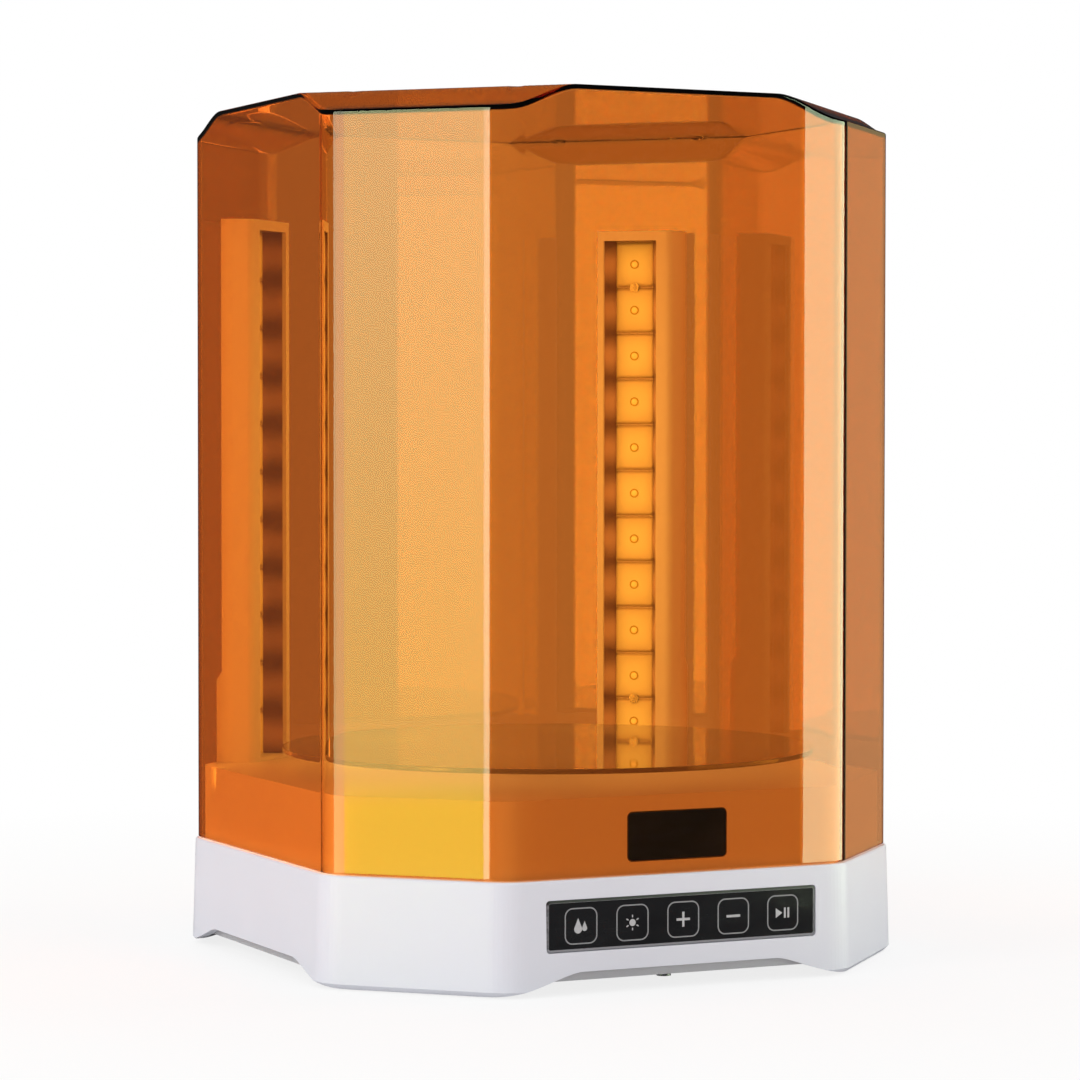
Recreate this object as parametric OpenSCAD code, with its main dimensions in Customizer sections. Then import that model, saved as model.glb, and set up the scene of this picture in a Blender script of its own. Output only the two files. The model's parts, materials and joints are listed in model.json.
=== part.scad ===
// Resin wash and cure station: a white octagonal base with a touch panel, a raised deck that
// carries a driven turntable and two light columns, and an amber cover that lifts off.
// Millimetres, +Z up, front face towards -Y, origin at the middle of the footprint on the table.

/* [Cover] */
// Width of the cover over its two side faces
cover_w = 250; // [242:1:270]
// Depth of the cover over its front and back faces
cover_d = 250; // [242:1:270]
// Height of the cover from its rim to its roof
cover_h = 301.6; // [280:0.1:330]
// Length that each corner facet takes off a side
corner_leg = 52.3; // [46:0.1:58]
// Radius of the upright edges
corner_r = 17; // [10:0.5:22]
// Thickness of the cover wall
cover_wall = 2.5; // [2:0.1:3.2]
// Thickness of the cover roof
cover_roof = 3; // [2:0.1:4]
// Fall of the crown from the roof to the top of a corner facet
crown_drop = 8.8; // [6:0.1:14]
// Run of the crown slope, square to the corner facet
crown_run = 21.2; // [14:0.1:28]
// Gap between the cover rim and the shoulder it stands on
rim_gap = 0.3; // [0.2:0.05:0.5]

/* [Base] */
// Height of the shoulder that the cover stands on
base_h = 44; // [42:0.5:52]
// Distance that the base stands out from the cover at the seam
base_step = 1.2; // [0.8:0.1:2]
// Further spread of the base from the seam down to the table
base_flare = 1.2; // [0.6:0.1:2]
// Thickness of the base wall at the seam
base_wall = 3; // [2.6:0.1:4]
// Thickness of the shoulder
shoulder_t = 3; // [2.5:0.1:4]
// Width of the shoulder, from the cover's outer face inwards
shoulder_w = 14; // [12:0.5:18]
// Radius of the edge round the foot of the base
foot_edge = 2; // [1:0.1:3]
// Height of the skirt above the table
skirt_lift = 0.5; // [0.3:0.1:1]
// Height of the arches between the corners
arch_h = 8.8; // [6:0.1:11]
// Width of the flat top of an arch
arch_flat = 86; // [70:1:96]
// Width of an arch where it meets the table
arch_w = 160; // [140:1:170]
// Height of the underside of the bottom cover above the table
floor_z = 5; // [4.5:0.1:6]
// Thickness of the bottom cover
floor_t = 3; // [2:0.1:4]
// Diameter of a rubber foot
foot_d = 18; // [12:0.5:24]
// Distance of the rubber feet from the centre lines
foot_pos = 76; // [66:1:80]

/* [Deck] */
// Height of the deck above the shoulder
deck_h = 30.4; // [28:0.1:36]
// Gap between the deck and the inside of the cover
deck_gap = 2; // [1.5:0.1:3]
// Thickness of the deck walls
deck_wall = 2.5; // [2.2:0.1:3.2]
// Thickness of the deck plate
deck_plate = 2.5; // [2:0.1:3.2]

/* [Front] */
// Sideways place of the panel and the display
front_x = 1.5; // [-6:0.5:6]
// Width of the touch panel
panel_w = 117; // [100:1:124]
// Height of the touch panel
panel_h = 19.5; // [16:0.5:22]
// Height of the panel's centre line above the table
panel_z = 26.5; // [23:0.5:27]
// Thickness of the touch panel
panel_t = 1.5; // [1.2:0.1:1.6]
// Corner radius of the touch panel
panel_r = 1.5; // [0.5:0.1:2.5]
// Number of touch pads
key_count = 5; // [3:1:5]
// Distance between the touch pads
key_pitch = 22; // [20:0.5:23]
// Width of the display window
display_w = 43.4; // [36:0.2:50]
// Height of the display window
display_h = 19.2; // [16:0.2:21]
// Thickness of the display window
display_t = 1.4; // [1:0.1:1.6]
// Corner radius of the display window
display_r = 2.2; // [1:0.1:3]

/* [Turntable] */
// Diameter of the turntable disc
table_d = 217.6; // [200:0.2:218]
// Thickness of the turntable disc
table_t = 2; // [1.6:0.1:3]
// Distance of the turntable axis from the centre, towards the back
table_y = -10.6; // [-11:0.1:-4]
// Gap between the deck and the turntable disc
table_gap = 8.4; // [8:0.1:12]
// Diameter of the turntable hub
hub_d = 31; // [28:0.5:40]
// Width of the hexagonal drive nose, corner to corner
nose_d = 16; // [12:0.5:18]
// Play between the drive nose and its socket, all round
nose_play = 0.25; // [0.15:0.05:0.4]

/* [Drive] */
// Diameter of the drive shaft
shaft_d = 6; // [5:0.5:7]
// Radial play of a turning shaft in its bore
run_play = 0.04; // [0.02:0.01:0.08]
// Diameter of the gearbox on the motor
motor_d = 37; // [34:0.5:40]
// Height of the gearbox
gearbox_h = 20; // [16:0.5:21]
// Height of the motor can under the gearbox
can_h = 16; // [12:0.5:17]
// Diameter of the magnet rotor
rotor_d = 48; // [40:0.5:50]
// Thickness of the magnet rotor
rotor_t = 9; // [7:0.5:10]
// Number of drive magnets
magnet_count = 4; // [2:1:6]
// Diameter of a drive magnet
magnet_d = 10; // [8:0.5:12]

/* [Light columns] */
// Width of a column's face
col_face = 34.6; // [32:0.2:37]
// Depth of a column
col_depth = 12.7; // [12.2:0.1:13.4]
// Extra depth of the plinth at a column's foot
plinth_extra = 2.2; // [1:0.1:3]
// Height of the plinth
plinth_h = 35; // [25:1:50]
// Height of a column above the deck
col_h = 229.4; // [228:0.2:235]
// Turn of a column's face from the front
col_turn = 41; // [38:1:47]
// Spread of a column's sides towards its back, in degrees
col_flare = 13; // [8:1:15]
// Radius of a column's outer front edge
col_round = 4; // [2:0.5:5]
// Distance from the cover's corner facet in to the middle of the face
col_inset = 21.9; // [20.4:0.1:23]
// Shift of a column along the corner facet, towards the front
col_shift = 3.8; // [2:0.1:6]
// Thickness of a column's walls
col_wall = 1.8; // [1.5:0.1:2.2]
// Width of the light slot at the face
slot_w = 24; // [22:0.2:25]
// Width of the light slot at the lamp board
slot_floor_w = 16.8; // [15:0.2:18]
// Narrow margin beside the slot, on the side away from the door edge
slot_margin = 2.8; // [2.4:0.1:3.4]
// Height of a column's cap above the light slot
slot_head = 4.25; // [4:0.05:6]
// Number of lamps in a column
led_count = 11; // [8:1:12]
// Height of the lowest lamp above the deck
led_start = 9.9; // [9:0.1:12]
// Thickness of a lamp board
led_board_t = 1; // [0.8:0.1:1.2]
// Thickness of the reflector sheet
reflector_t = 1; // [0.6:0.1:1.2]

/* [Back] */
// Distance from the rounded edge of the rear face to the power inlet
jack_inset = 7.66; // [7.6:0.02:12]
// Distance from the power inlet to the power switch
switch_pitch = 28; // [26:0.5:40]
// Height of the inlet and the switch above the table
rear_z = 24; // [22:0.5:27]
// Width of the rocker
rocker_w = 15; // [12:0.5:16]
// Tilt of the rocker either side of level, in degrees
rocker_tilt = 7; // [5:1:9]

/* [Screws] */
// Diameter of the housing screws
screw_d = 3; // [2.5:0.1:3.5]
// Diameter of the board screws
small_screw_d = 2.2; // [2:0.1:2.5]

/* [Hidden] */
$fn = 64;

eps = 0.01;
fit = 0.3;
thread_play = 0.02;
hole_play = 0.3;
hw = cover_w / 2;
hd = cover_d / 2;
deck_z = base_h + deck_h;
deck_under = deck_z - deck_plate;
floor_top = floor_z + floor_t;
shoulder_under = base_h - shoulder_t;
// Inset of each outline from the cover's outer face; a negative inset stands out
base_in = base_wall - base_step;
deck_out = cover_wall + deck_gap;
deck_in = deck_out + deck_wall;
// Depth of the base's outer face at a height above the table
function base_face(z) = hd + base_step + base_flare * (base_h - z) / base_h;

// Screw sizes
head_d = screw_d * 1.9;
head_h = screw_d * 0.7;
small_head_d = small_screw_d * 1.9;
small_head_h = small_screw_d * 0.6;
boss_d = screw_d + 5;
deck_boss_len = 14;
screw_grip = 9;
deck_screw_len = shoulder_t + screw_grip;
bottom_screw_len = floor_t + screw_grip;
deck_boss_in = deck_in + boss_d / 2 - 0.5;
deck_boss_x = 60;
bottom_boss_in = 12;

// Vertical stack of the drive, from the deck down
bush_flange_t = 1.5;
bush_len = 8;
bush_d = shaft_d + 6;
drive_boss_d = bush_d + 8;
rotor_top = deck_under - 8;
rotor_bottom = rotor_top - rotor_t;
bracket_t = 2;
bracket_top = rotor_bottom - 5;
motor_top = bracket_top - bracket_t;
pilot_d = shaft_d + 6;
pilot_h = bracket_t + 2;
shaft_in_motor = 10;
bracket_w = rotor_d + 18;
bracket_d = rotor_d - 4;
bracket_hole_x = bracket_w / 2 - 6;
bracket_hole_y = bracket_d / 2 - 5;
bracket_boss_d = 8;
motor_hole_r = motor_d / 2 - 3.5;
motor_screw_depth = 5;
bracket_screw_depth = 8;
magnet_t = 6;
magnet_r = (rotor_d - magnet_d) / 2 - 2;

// Stack of the turntable, from the deck up
collar_z = deck_z + bush_flange_t + fit;
collar_t = 1.8;
collar_d = nose_d + 5;
hub_z = collar_z + collar_t + fit;
disc_z = deck_z + table_gap;
hub_roof = 1;
nose_top = disc_z - hub_roof - fit;

// Column plan: origin in the middle of the face, +Y into the column
col_w2 = col_face / 2;
spread = tan(col_flare);
back_t = 2.2;
board_v = col_depth - back_t - led_board_t;
slot_u0 = slot_margin - col_w2;
slot_u1 = slot_u0 + slot_w;
slot_mid = (slot_u0 + slot_u1) / 2;
slot_sill = 1.6;
slot_top = col_h - slot_head;
led_pitch = (slot_top - led_start) / (led_count - 0.5);
led_board_w = slot_floor_w + 2.6;
side_wall = col_wall / cos(col_flare);
col_boss_d = 5.2;
col_boss_u = slot_u1 + (col_w2 - slot_u1 - side_wall + 1) / 2 + 0.9;
col_boss_v = (col_wall + board_v) / 2;
col_screw_len = 9;
back_screw_len = 7;
back_screw_rise = 8;
back_screw_drop = 46;
back_screw_z = [plinth_h + back_screw_rise, col_h - back_screw_drop];
tongue_w = 6;
tongue_t = 1.4;

// Boards
board_w = 75;
board_d = 60;
board_t = 1.6;
board_inset_x = 25;
board_inset_y = 47;
board_pos = [board_inset_x - hw, hd - board_inset_y - board_d];
standoff_h = 6;
standoff_d = 7;
board_hole = 4;
board_z = floor_top + standoff_h;
display_board_ear = 13;
display_board_w = display_w + 2 * display_board_ear;
display_hole = display_board_w / 2 - board_hole;
display_z = base_h + deck_h / 2 - 0.6;
display_gap = 1.6;

// Parts on the main board
part_margin = 12;
processor = [12, 12, 1.6];
driver_chip = [10, 9, 4.5];
capacitor_d = 8;
capacitor_h = 12;
buzzer_d = 12;
buzzer_h = 8;
socket = [9, 6, 7];
socket_count = 4;
socket_pitch = 13;

// Sensor on the deck's rear wall that feels the cover
sensor_x = 40;
sensor_z = base_h + deck_h / 2;
sensor_eye_d = 3;

// The panel lies slightly below the face of the base
panel_front = base_face(panel_z) - 0.2;
panel_back = panel_front - panel_t;
panel_room = 10;
deck_front = hd - deck_out;

// Rear sockets
seat_y = hd + base_step - 1;
inner_y = hd - base_in;
jack_x = corner_leg + corner_r * tan(22.5) + jack_inset - hw;
switch_x = jack_x + switch_pitch;
jack_r = 5.9;
jack_flange_r = 7;
jack_len = 13;
plug_r = 2.8;
plug_depth = 9.5;
jack_pin_r = 1;
switch_w = rocker_w + 4;
switch_h = 13;
bezel = 1.2;
pivot_in = 3.2;
rocker_h = 9.6;
trunnion_r = 1;

// Octagon

function octagon_points(inset) =
    let (
        x = hw - inset,
        y = hd - inset,
        leg = corner_leg - inset * (2 - sqrt(2))
    )
    [
        [x, leg - y], [x, y - leg], [x - leg, y], [leg - x, y],
        [-x, y - leg], [-x, leg - y], [leg - x, -y], [x - leg, -y]
    ];

// Octagonal outline with rounded corners, inset from the cover's outer face
module octagon(inset) {
    r = max(corner_r - inset, 2);
    offset(r = r) offset(delta = -r) polygon(octagon_points(inset));
}

module octagon_prism(inset, z0, z1) {
    translate([0, 0, z0]) linear_extrude(z1 - z0) octagon(inset);
}

// Places

module at_corners(x, y, z = 0) {
    for (sx = [-1, 1], sy = [-1, 1]) translate([sx * x, sy * y, z]) children();
}

// Two bosses on each main side of the deck
module at_deck_bosses(z = 0) {
    at_corners(deck_boss_x, hd - deck_boss_in, z) children();
    at_corners(hw - deck_boss_in, deck_boss_x, z) children();
}

// One boss in each corner and one in the middle of each side
module at_bottom_bosses(z = 0) {
    reach = corner_leg / 2 + bottom_boss_in * 0.65;
    at_corners(hw - reach, hd - reach, z) children();
    for (s = [-1, 1]) {
        translate([0, s * (hd - bottom_boss_in), z]) children();
        translate([s * (hw - bottom_boss_in), 0, z]) children();
    }
}

module at_drive(z = 0) {
    translate([0, table_y, z]) children();
}

module at_bracket_holes(z = 0) {
    at_drive(z) at_corners(bracket_hole_x, bracket_hole_y) children();
}

module at_motor_holes(z = 0) {
    at_drive(z) for (a = [0, 90, 180, 270]) rotate(a) translate([motor_hole_r, 0, 0]) children();
}

// side is 1 for the right column and -1 for the left, its mirror image
module at_column(side, z = 0) {
    mirror([side < 0 ? 1 : 0, 0, 0])
    translate([hw - corner_leg / 2, hd - corner_leg / 2, z])
    rotate(-45) translate([col_shift, -col_inset, 0]) rotate(45 - col_turn)
    children();
}

module at_leds(side) {
    for (i = [0 : led_count - 1])
        at_column(side, deck_z + led_start + i * led_pitch) translate([slot_mid, board_v, 0]) children();
}

// Board screws sit on the dividing line under the top lamp and above the lowest one
module at_led_board_holes(side) {
    for (i = [0.5, led_count - 1.5])
        at_column(side, deck_z + led_start + i * led_pitch) translate([slot_mid, board_v, 0]) children();
}

module at_back_plate_holes(side) {
    for (z = back_screw_z)
        at_column(side, deck_z + z) translate([col_boss_u, 0, 0]) children();
}

// Shapes used by several parts

// Screw pointing along +Z, with the underside of its head at the origin
module screw(d, len, head, head_t) {
    translate([0, 0, -head_t]) cylinder(d = head, h = head_t);
    translate([0, 0, -eps]) cylinder(d = d, h = len + eps);
}

module pilot(d, len) {
    cylinder(d = d + 2 * thread_play, h = len);
}

module rounded_plate(w, h, t, r) {
    linear_extrude(t) offset(r = r) offset(delta = -r) square([w, h], center = true);
}

// Plate that stands upright, facing the front, with its front face at y
module front_plate(w, h, t, r, x, y, z) {
    translate([x, y, z]) rotate([90, 0, 0]) translate([0, 0, -t]) rounded_plate(w, h, t, r);
}

// Base

// Outline of one arch, from the table up
module arch_outline() {
    steps = 12;
    run = (arch_w - arch_flat) / 2;
    rise = arch_h - skirt_lift;
    side = [
        for (i = [0 : steps])
            let (t = i / steps, s = pow(t, 0.75))
            [arch_flat / 2 + run * t, skirt_lift + rise * (1 - 3 * s * s + 2 * s * s * s)]
    ];
    points = concat(
        [[-arch_w / 2, -1], [arch_w / 2, -1]],
        [for (i = [steps : -1 : 0]) side[i]],
        [for (i = [0 : steps]) [-side[i][0], side[i][1]]]
    );
    polygon(points);
}

module arches() {
    reach = max(hw, hd) + 10;
    for (a = [0, 90, 180, 270])
        rotate(a) translate([0, -base_in - reach / 2, 0]) rotate([90, 0, 0])
            linear_extrude(reach / 2) arch_outline();
}

module base_body() {
    top_edge = 0.6;
    hull() {
        octagon_prism(foot_edge - base_step - base_flare, skirt_lift, skirt_lift + eps);
        octagon_prism(-base_step - base_flare, skirt_lift + foot_edge, skirt_lift + foot_edge + eps);
        octagon_prism(-base_step, base_h - top_edge - eps, base_h - top_edge);
        octagon_prism(top_edge - base_step, base_h - eps, base_h);
    }
}

// Room behind the touch panel, and the seats of the inlet and the switch
module base_sockets() {
    window_edge = 3;
    front_plate(panel_w + 2 * fit, panel_h + 2 * fit, panel_room, panel_r, front_x,
        -panel_back - panel_room, panel_z);
    translate([front_x, -panel_back, panel_z])
        cube([panel_w - 2 * window_edge, 2 * panel_room, panel_h - 2 * window_edge], center = true);
    translate([jack_x, seat_y, rear_z]) rotate([-90, 0, 0]) cylinder(r = jack_flange_r + fit, h = 10);
    translate([jack_x, inner_y - 1, rear_z]) rotate([-90, 0, 0]) cylinder(r = jack_r + 0.1, h = 10);
    translate([switch_x, seat_y + 5, rear_z])
        cube([switch_w + 2 * bezel + 2 * fit, 10, switch_h + 2 * bezel + 2 * fit], center = true);
    translate([switch_x, seat_y, rear_z]) cube([switch_w + 0.2, 20, switch_h + 0.2], center = true);
}

module base_shell() {
    color("#EEECF0") difference() {
        union() {
            difference() {
                base_body();
                octagon_prism(base_in, -1, shoulder_under);
                octagon_prism(shoulder_w, -1, base_h + 1);
            }
            at_deck_bosses(shoulder_under) cylinder(d = boss_d + 3, h = shoulder_t);
            at_bottom_bosses(floor_top) cylinder(d = boss_d, h = base_h - floor_top);
        }
        arches();
        base_sockets();
        at_deck_bosses(shoulder_under - 1) cylinder(d = screw_d + hole_play, h = shoulder_t + 2);
        at_bottom_bosses(floor_top - 1) pilot(screw_d, bottom_screw_len);
    }
}

module bottom_cover() {
    vent_w = 3;
    vent_len = 34;
    vent_pitch = 8;
    vent_x = 62;
    color("#B4B4B8") difference() {
        union() {
            octagon_prism(base_in + fit, floor_z, floor_top);
            at_standoffs(floor_top) cylinder(d = standoff_d, h = standoff_h);
        }
        at_bottom_bosses(floor_z - 1) cylinder(d = screw_d + hole_play, h = floor_t + 2);
        at_standoffs(floor_z - 1) pilot(small_screw_d, standoff_h + floor_t + 2);
        for (side = [-1, 1], i = [-3 : 3])
            translate([side * vent_x, i * vent_pitch, floor_z + floor_t / 2])
                cube([vent_len, vent_w, floor_t + 2], center = true);
    }
}

module rubber_feet() {
    edge = 0.8;
    color("#222222") at_corners(foot_pos, foot_pos) rotate_extrude() polygon([
        [0, 0], [foot_d / 2 - edge, 0], [foot_d / 2, edge], [foot_d / 2, floor_z], [0, floor_z]
    ]);
}

module bottom_screws() {
    color("#8A8D90") at_bottom_bosses(floor_z) screw(screw_d, bottom_screw_len - 1, head_d, head_h);
}

// Deck

module deck_opening_for_display() {
    rim = 2.5;
    front_plate(display_w + 0.2, display_h + 0.2, panel_room, display_r, front_x,
        display_t - deck_front - panel_room, display_z);
    translate([front_x, -deck_front, display_z])
        cube([display_w - 2 * rim, 2 * panel_room, display_h - 2 * rim], center = true);
}

module deck() {
    color("#F1EFF2") difference() {
        union() {
            difference() {
                octagon_prism(deck_out, base_h, deck_z);
                octagon_prism(deck_in, base_h - 1, deck_under);
            }
            at_deck_bosses(base_h) cylinder(d = boss_d, h = deck_boss_len);
            at_drive(deck_z - bush_len) cylinder(d = drive_boss_d, h = bush_len - deck_plate + eps);
            at_bracket_holes(bracket_top) cylinder(d = bracket_boss_d, h = deck_under - bracket_top + eps);
            for (s = [-1, 1])
                translate([front_x + s * display_hole, -(hd - deck_in), display_z])
                    rotate([-90, 0, 0]) cylinder(d = 5, h = display_gap);
        }
        deck_opening_for_display();
        at_deck_bosses(base_h - 1) pilot(screw_d, deck_screw_len - shoulder_t + 1.5);
        at_drive(deck_z - bush_len - 1) cylinder(d = bush_d + 0.04, h = bush_len + 2);
        at_bracket_holes(bracket_top - 1) pilot(small_screw_d, bracket_screw_depth + 2);
        for (s = [-1, 1])
            translate([front_x + s * display_hole, -(hd - deck_in) - 1, display_z])
                rotate([-90, 0, 0]) pilot(small_screw_d, 4);
        for (side = [-1, 1]) at_column(side, deck_z - deck_plate - 1) {
            translate([col_boss_u, col_boss_v, 0])
                cylinder(d = small_screw_d + hole_play, h = deck_plate + 2);
            translate([slot_mid, col_depth - 3.5, 0]) cylinder(d = 4, h = deck_plate + 2);
            tongue(fit / 2, deck_plate + 2);
        }
        translate([sensor_x, hd - deck_in - 1, sensor_z]) rotate([-90, 0, 0])
            cylinder(d = sensor_eye_d, h = deck_wall + 2);
    }
}

module deck_screws() {
    color("#8A8D90") at_deck_bosses(shoulder_under) screw(screw_d, deck_screw_len, head_d, head_h);
}

// Front panel and display

module control_panel() {
    color("#151516")
        front_plate(panel_w, panel_h, panel_t, panel_r, front_x, -panel_front, panel_z);
}

module touch_board() {
    t = 1.2;
    margin = 4;
    pad_d = 11;
    color("#2F6B3C") difference() {
        translate([front_x, panel_t + t / 2 - panel_front, panel_z])
            cube([panel_w - 2 * margin, t, panel_h - 2 * margin], center = true);
        for (i = [0 : key_count - 1])
            translate([front_x + (i - (key_count - 1) / 2) * key_pitch, panel_t - panel_front, panel_z])
                rotate([-90, 0, 0]) difference() {
                    cylinder(d = pad_d, h = 0.3, center = true);
                    cylinder(d = pad_d - 1, h = 1, center = true);
                }
    }
}

module display_window() {
    color("#17120F") front_plate(display_w, display_h, display_t, display_r, front_x,
        -deck_front, display_z);
}

module display_board() {
    rim = 3;
    back = deck_wall + display_gap;
    color("#2F6B3C") difference() {
        union() {
            translate([front_x, back + board_t / 2 - deck_front, display_z])
                cube([display_board_w, board_t, display_h], center = true);
            translate([front_x, (display_t + back) / 2 + 0.1 - deck_front, display_z])
                cube([display_w - 2 * rim, back - display_t - 0.2, display_h - 2 * rim], center = true);
        }
        for (s = [-1, 1])
            translate([front_x + s * display_hole, -deck_front, display_z])
                rotate([-90, 0, 0]) cylinder(d = small_screw_d + hole_play, h = 12);
    }
}

// Electronics

module at_standoffs(z) {
    for (x = [board_hole, board_w - board_hole], y = [board_hole, board_d - board_hole])
        translate([board_pos[0] + x, board_pos[1] + y, z]) children();
}

module main_board() {
    color("#2F6B3C") difference() {
        translate([board_pos[0], board_pos[1], board_z]) cube([board_w, board_d, board_t]);
        at_standoffs(board_z - 1) cylinder(d = small_screw_d + hole_play, h = board_t + 2);
    }
}

module board_components() {
    top = board_z + board_t;
    color("#1C1C1E") translate([board_pos[0], board_pos[1], top]) {
        translate([board_w - processor[0], board_d - processor[1], 0] / 2) cube(processor);
        translate([board_w - part_margin - driver_chip[0], part_margin, 0]) cube(driver_chip);
        for (i = [0, 1])
            translate([part_margin, part_margin + i * 1.5 * capacitor_d, 0])
                cylinder(d = capacitor_d, h = capacitor_h);
        translate([board_w - part_margin - buzzer_d / 2, (board_d + buzzer_d) / 2, 0])
            cylinder(d = buzzer_d, h = buzzer_h);
        for (i = [0 : socket_count - 1])
            translate([part_margin + i * socket_pitch, board_d - board_hole - socket[1], 0]) cube(socket);
    }
}

// Screws of the main board, then those of the display board
module board_screws() {
    color("#8A8D90") {
        at_standoffs(board_z + board_t) rotate([180, 0, 0])
            screw(small_screw_d, board_t + 5, small_head_d, small_head_h);
        for (s = [-1, 1])
            translate([front_x + s * display_hole, -(hd - deck_in) + display_gap + board_t, display_z])
                rotate([90, 0, 0])
                    screw(small_screw_d, board_t + display_gap + 0.8, small_head_d, small_head_h);
    }
}

module cover_sensor() {
    eye = [8, 5, 8];
    plate = [16, board_t, 13];
    color("#202226") {
        translate([sensor_x, hd - deck_in - eye[1] / 2, sensor_z]) cube(eye, center = true);
        translate([sensor_x, hd - deck_in - eye[1] - plate[1] / 2 + eps, sensor_z])
            cube(plate, center = true);
    }
}

// Power inlet and switch

module dc_jack() {
    flange_t = bezel;
    color("#1A1A1C") translate([jack_x, seat_y, rear_z]) rotate([-90, 0, 0]) {
        difference() {
            union() {
                cylinder(r = jack_flange_r, h = flange_t);
                translate([0, 0, -jack_len]) cylinder(r = jack_r, h = jack_len + eps);
            }
            translate([0, 0, flange_t - plug_depth]) cylinder(r = plug_r, h = plug_depth + 1);
        }
        translate([0, 0, flange_t - plug_depth - eps]) cylinder(r = jack_pin_r, h = plug_depth - 1);
    }
}

module jack_nut() {
    nut_t = 2.5;
    color("#B9BBBD") translate([jack_x, inner_y - nut_t, rear_z]) rotate([-90, 0, 0]) difference() {
        rotate(30) cylinder(r = jack_r + 2.6, h = nut_t, $fn = 6);
        translate([0, 0, -1]) cylinder(r = jack_r + thread_play, h = nut_t + 2);
    }
}

// Rocker plan, level, with the pivot at the origin and +Y out of the housing
module rocker_outline() {
    w = rocker_w / 2 - 0.8;
    peak = 4.4;
    shoulder = 3.5;
    root = 2.6;
    polygon([[-w, -root], [w, -root], [w, shoulder], [0, peak], [-w, shoulder]]);
}

module power_switch() {
    body_len = 14;
    cavity = pivot_in + 4.4;
    color("#18181A") translate([switch_x, seat_y, rear_z]) difference() {
        union() {
            translate([0, bezel / 2, 0])
                cube([switch_w + 2 * bezel, bezel, switch_h + 2 * bezel], center = true);
            translate([0, -body_len / 2 + eps, 0]) cube([switch_w, body_len, switch_h], center = true);
        }
        translate([0, bezel + 1 - (cavity + bezel + 1) / 2, 0])
            cube([rocker_w + 0.8, cavity + bezel + 1, rocker_h + 0.4], center = true);
        translate([0, -pivot_in, 0])
            cylinder(r = trunnion_r + run_play, h = rocker_h + 3, center = true);
    }
}

module power_rocker() {
    color("#232326") translate([switch_x, seat_y - pivot_in, rear_z]) {
        rotate(-rocker_tilt) translate([0, 0, -rocker_h / 2]) linear_extrude(rocker_h) rocker_outline();
        cylinder(r = trunnion_r, h = rocker_h + 2.4, center = true);
    }
}

// Drive

module gear_motor() {
    bore_len = shaft_in_motor + 1;
    can_d = motor_d - 4;
    color("#9A9DA0") difference() {
        union() {
            at_drive(motor_top - gearbox_h) cylinder(d = motor_d, h = gearbox_h);
            at_drive(motor_top - gearbox_h - can_h) cylinder(d = can_d, h = can_h + eps);
            at_drive(motor_top - eps) cylinder(d = pilot_d, h = pilot_h + eps);
        }
        at_drive(motor_top + pilot_h - bore_len) cylinder(d = shaft_d + 2 * run_play, h = bore_len + 1);
        at_motor_holes(motor_top - motor_screw_depth - 1) pilot(small_screw_d, motor_screw_depth + 2);
    }
}

module motor_bracket() {
    r = 4;
    color("#B5B8BB") difference() {
        at_drive(motor_top) rounded_plate(bracket_w, bracket_d, bracket_t, r);
        at_drive(motor_top - 1) cylinder(d = pilot_d + 0.3, h = bracket_t + 2);
        at_bracket_holes(motor_top - 1) cylinder(d = small_screw_d + hole_play, h = bracket_t + 2);
        at_motor_holes(motor_top - 1) cylinder(d = small_screw_d + hole_play, h = bracket_t + 2);
    }
}

module motor_screws() {
    color("#8A8D90") at_motor_holes(bracket_top) rotate([180, 0, 0])
        screw(small_screw_d, bracket_t + motor_screw_depth, small_head_d, small_head_h);
}

module bracket_screws() {
    color("#8A8D90") at_bracket_holes(motor_top) screw(small_screw_d, bracket_t + bracket_screw_depth,
        small_head_d, small_head_h);
}

module drive_shaft() {
    bottom = motor_top + pilot_h - shaft_in_motor;
    edge = 0.4;
    r = shaft_d / 2;
    top = nose_top - 0.5;
    color("#C8CACC") at_drive() rotate_extrude() polygon([
        [0, bottom], [r, bottom], [r, top - edge], [r - edge, top], [0, top]
    ]);
}

module shaft_bush() {
    color("#B08D45") at_drive() difference() {
        union() {
            translate([0, 0, deck_z]) cylinder(d = bush_d + 6, h = bush_flange_t);
            translate([0, 0, deck_z - bush_len]) cylinder(d = bush_d, h = bush_len + eps);
        }
        translate([0, 0, deck_z - bush_len - 1]) cylinder(d = shaft_d + 2 * run_play, h = bush_len + 4);
    }
}

module drive_rotor() {
    hub_len = 2;
    color("#D9D9D6") at_drive() difference() {
        union() {
            translate([0, 0, rotor_bottom]) cylinder(d = rotor_d, h = rotor_t);
            translate([0, 0, rotor_bottom - hub_len]) cylinder(d = shaft_d + 8, h = hub_len + eps);
        }
        translate([0, 0, rotor_bottom - hub_len - 1])
            cylinder(d = shaft_d + 2 * thread_play, h = rotor_t + hub_len + 2);
        at_magnets() translate([0, 0, -thread_play]) cylinder(d = magnet_d + 2 * thread_play, h = rotor_t);
    }
}

module at_magnets() {
    for (i = [0 : magnet_count - 1])
        rotate(i * 360 / magnet_count) translate([magnet_r, 0, rotor_top - magnet_t]) children();
}

module rotor_magnets() {
    color("#A7A9AC") at_drive() at_magnets() cylinder(d = magnet_d, h = magnet_t);
}

// Collar and hexagonal nose on top of the shaft, which carry and turn the turntable
module drive_hub() {
    color("#2A2A2C") at_drive() difference() {
        union() {
            translate([0, 0, collar_z]) cylinder(d = collar_d, h = collar_t);
            translate([0, 0, collar_z]) cylinder(d = nose_d, h = nose_top - collar_z, $fn = 6);
        }
        translate([0, 0, collar_z - 1])
            cylinder(d = shaft_d + 2 * thread_play, h = nose_top - collar_z + 2);
    }
}

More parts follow.
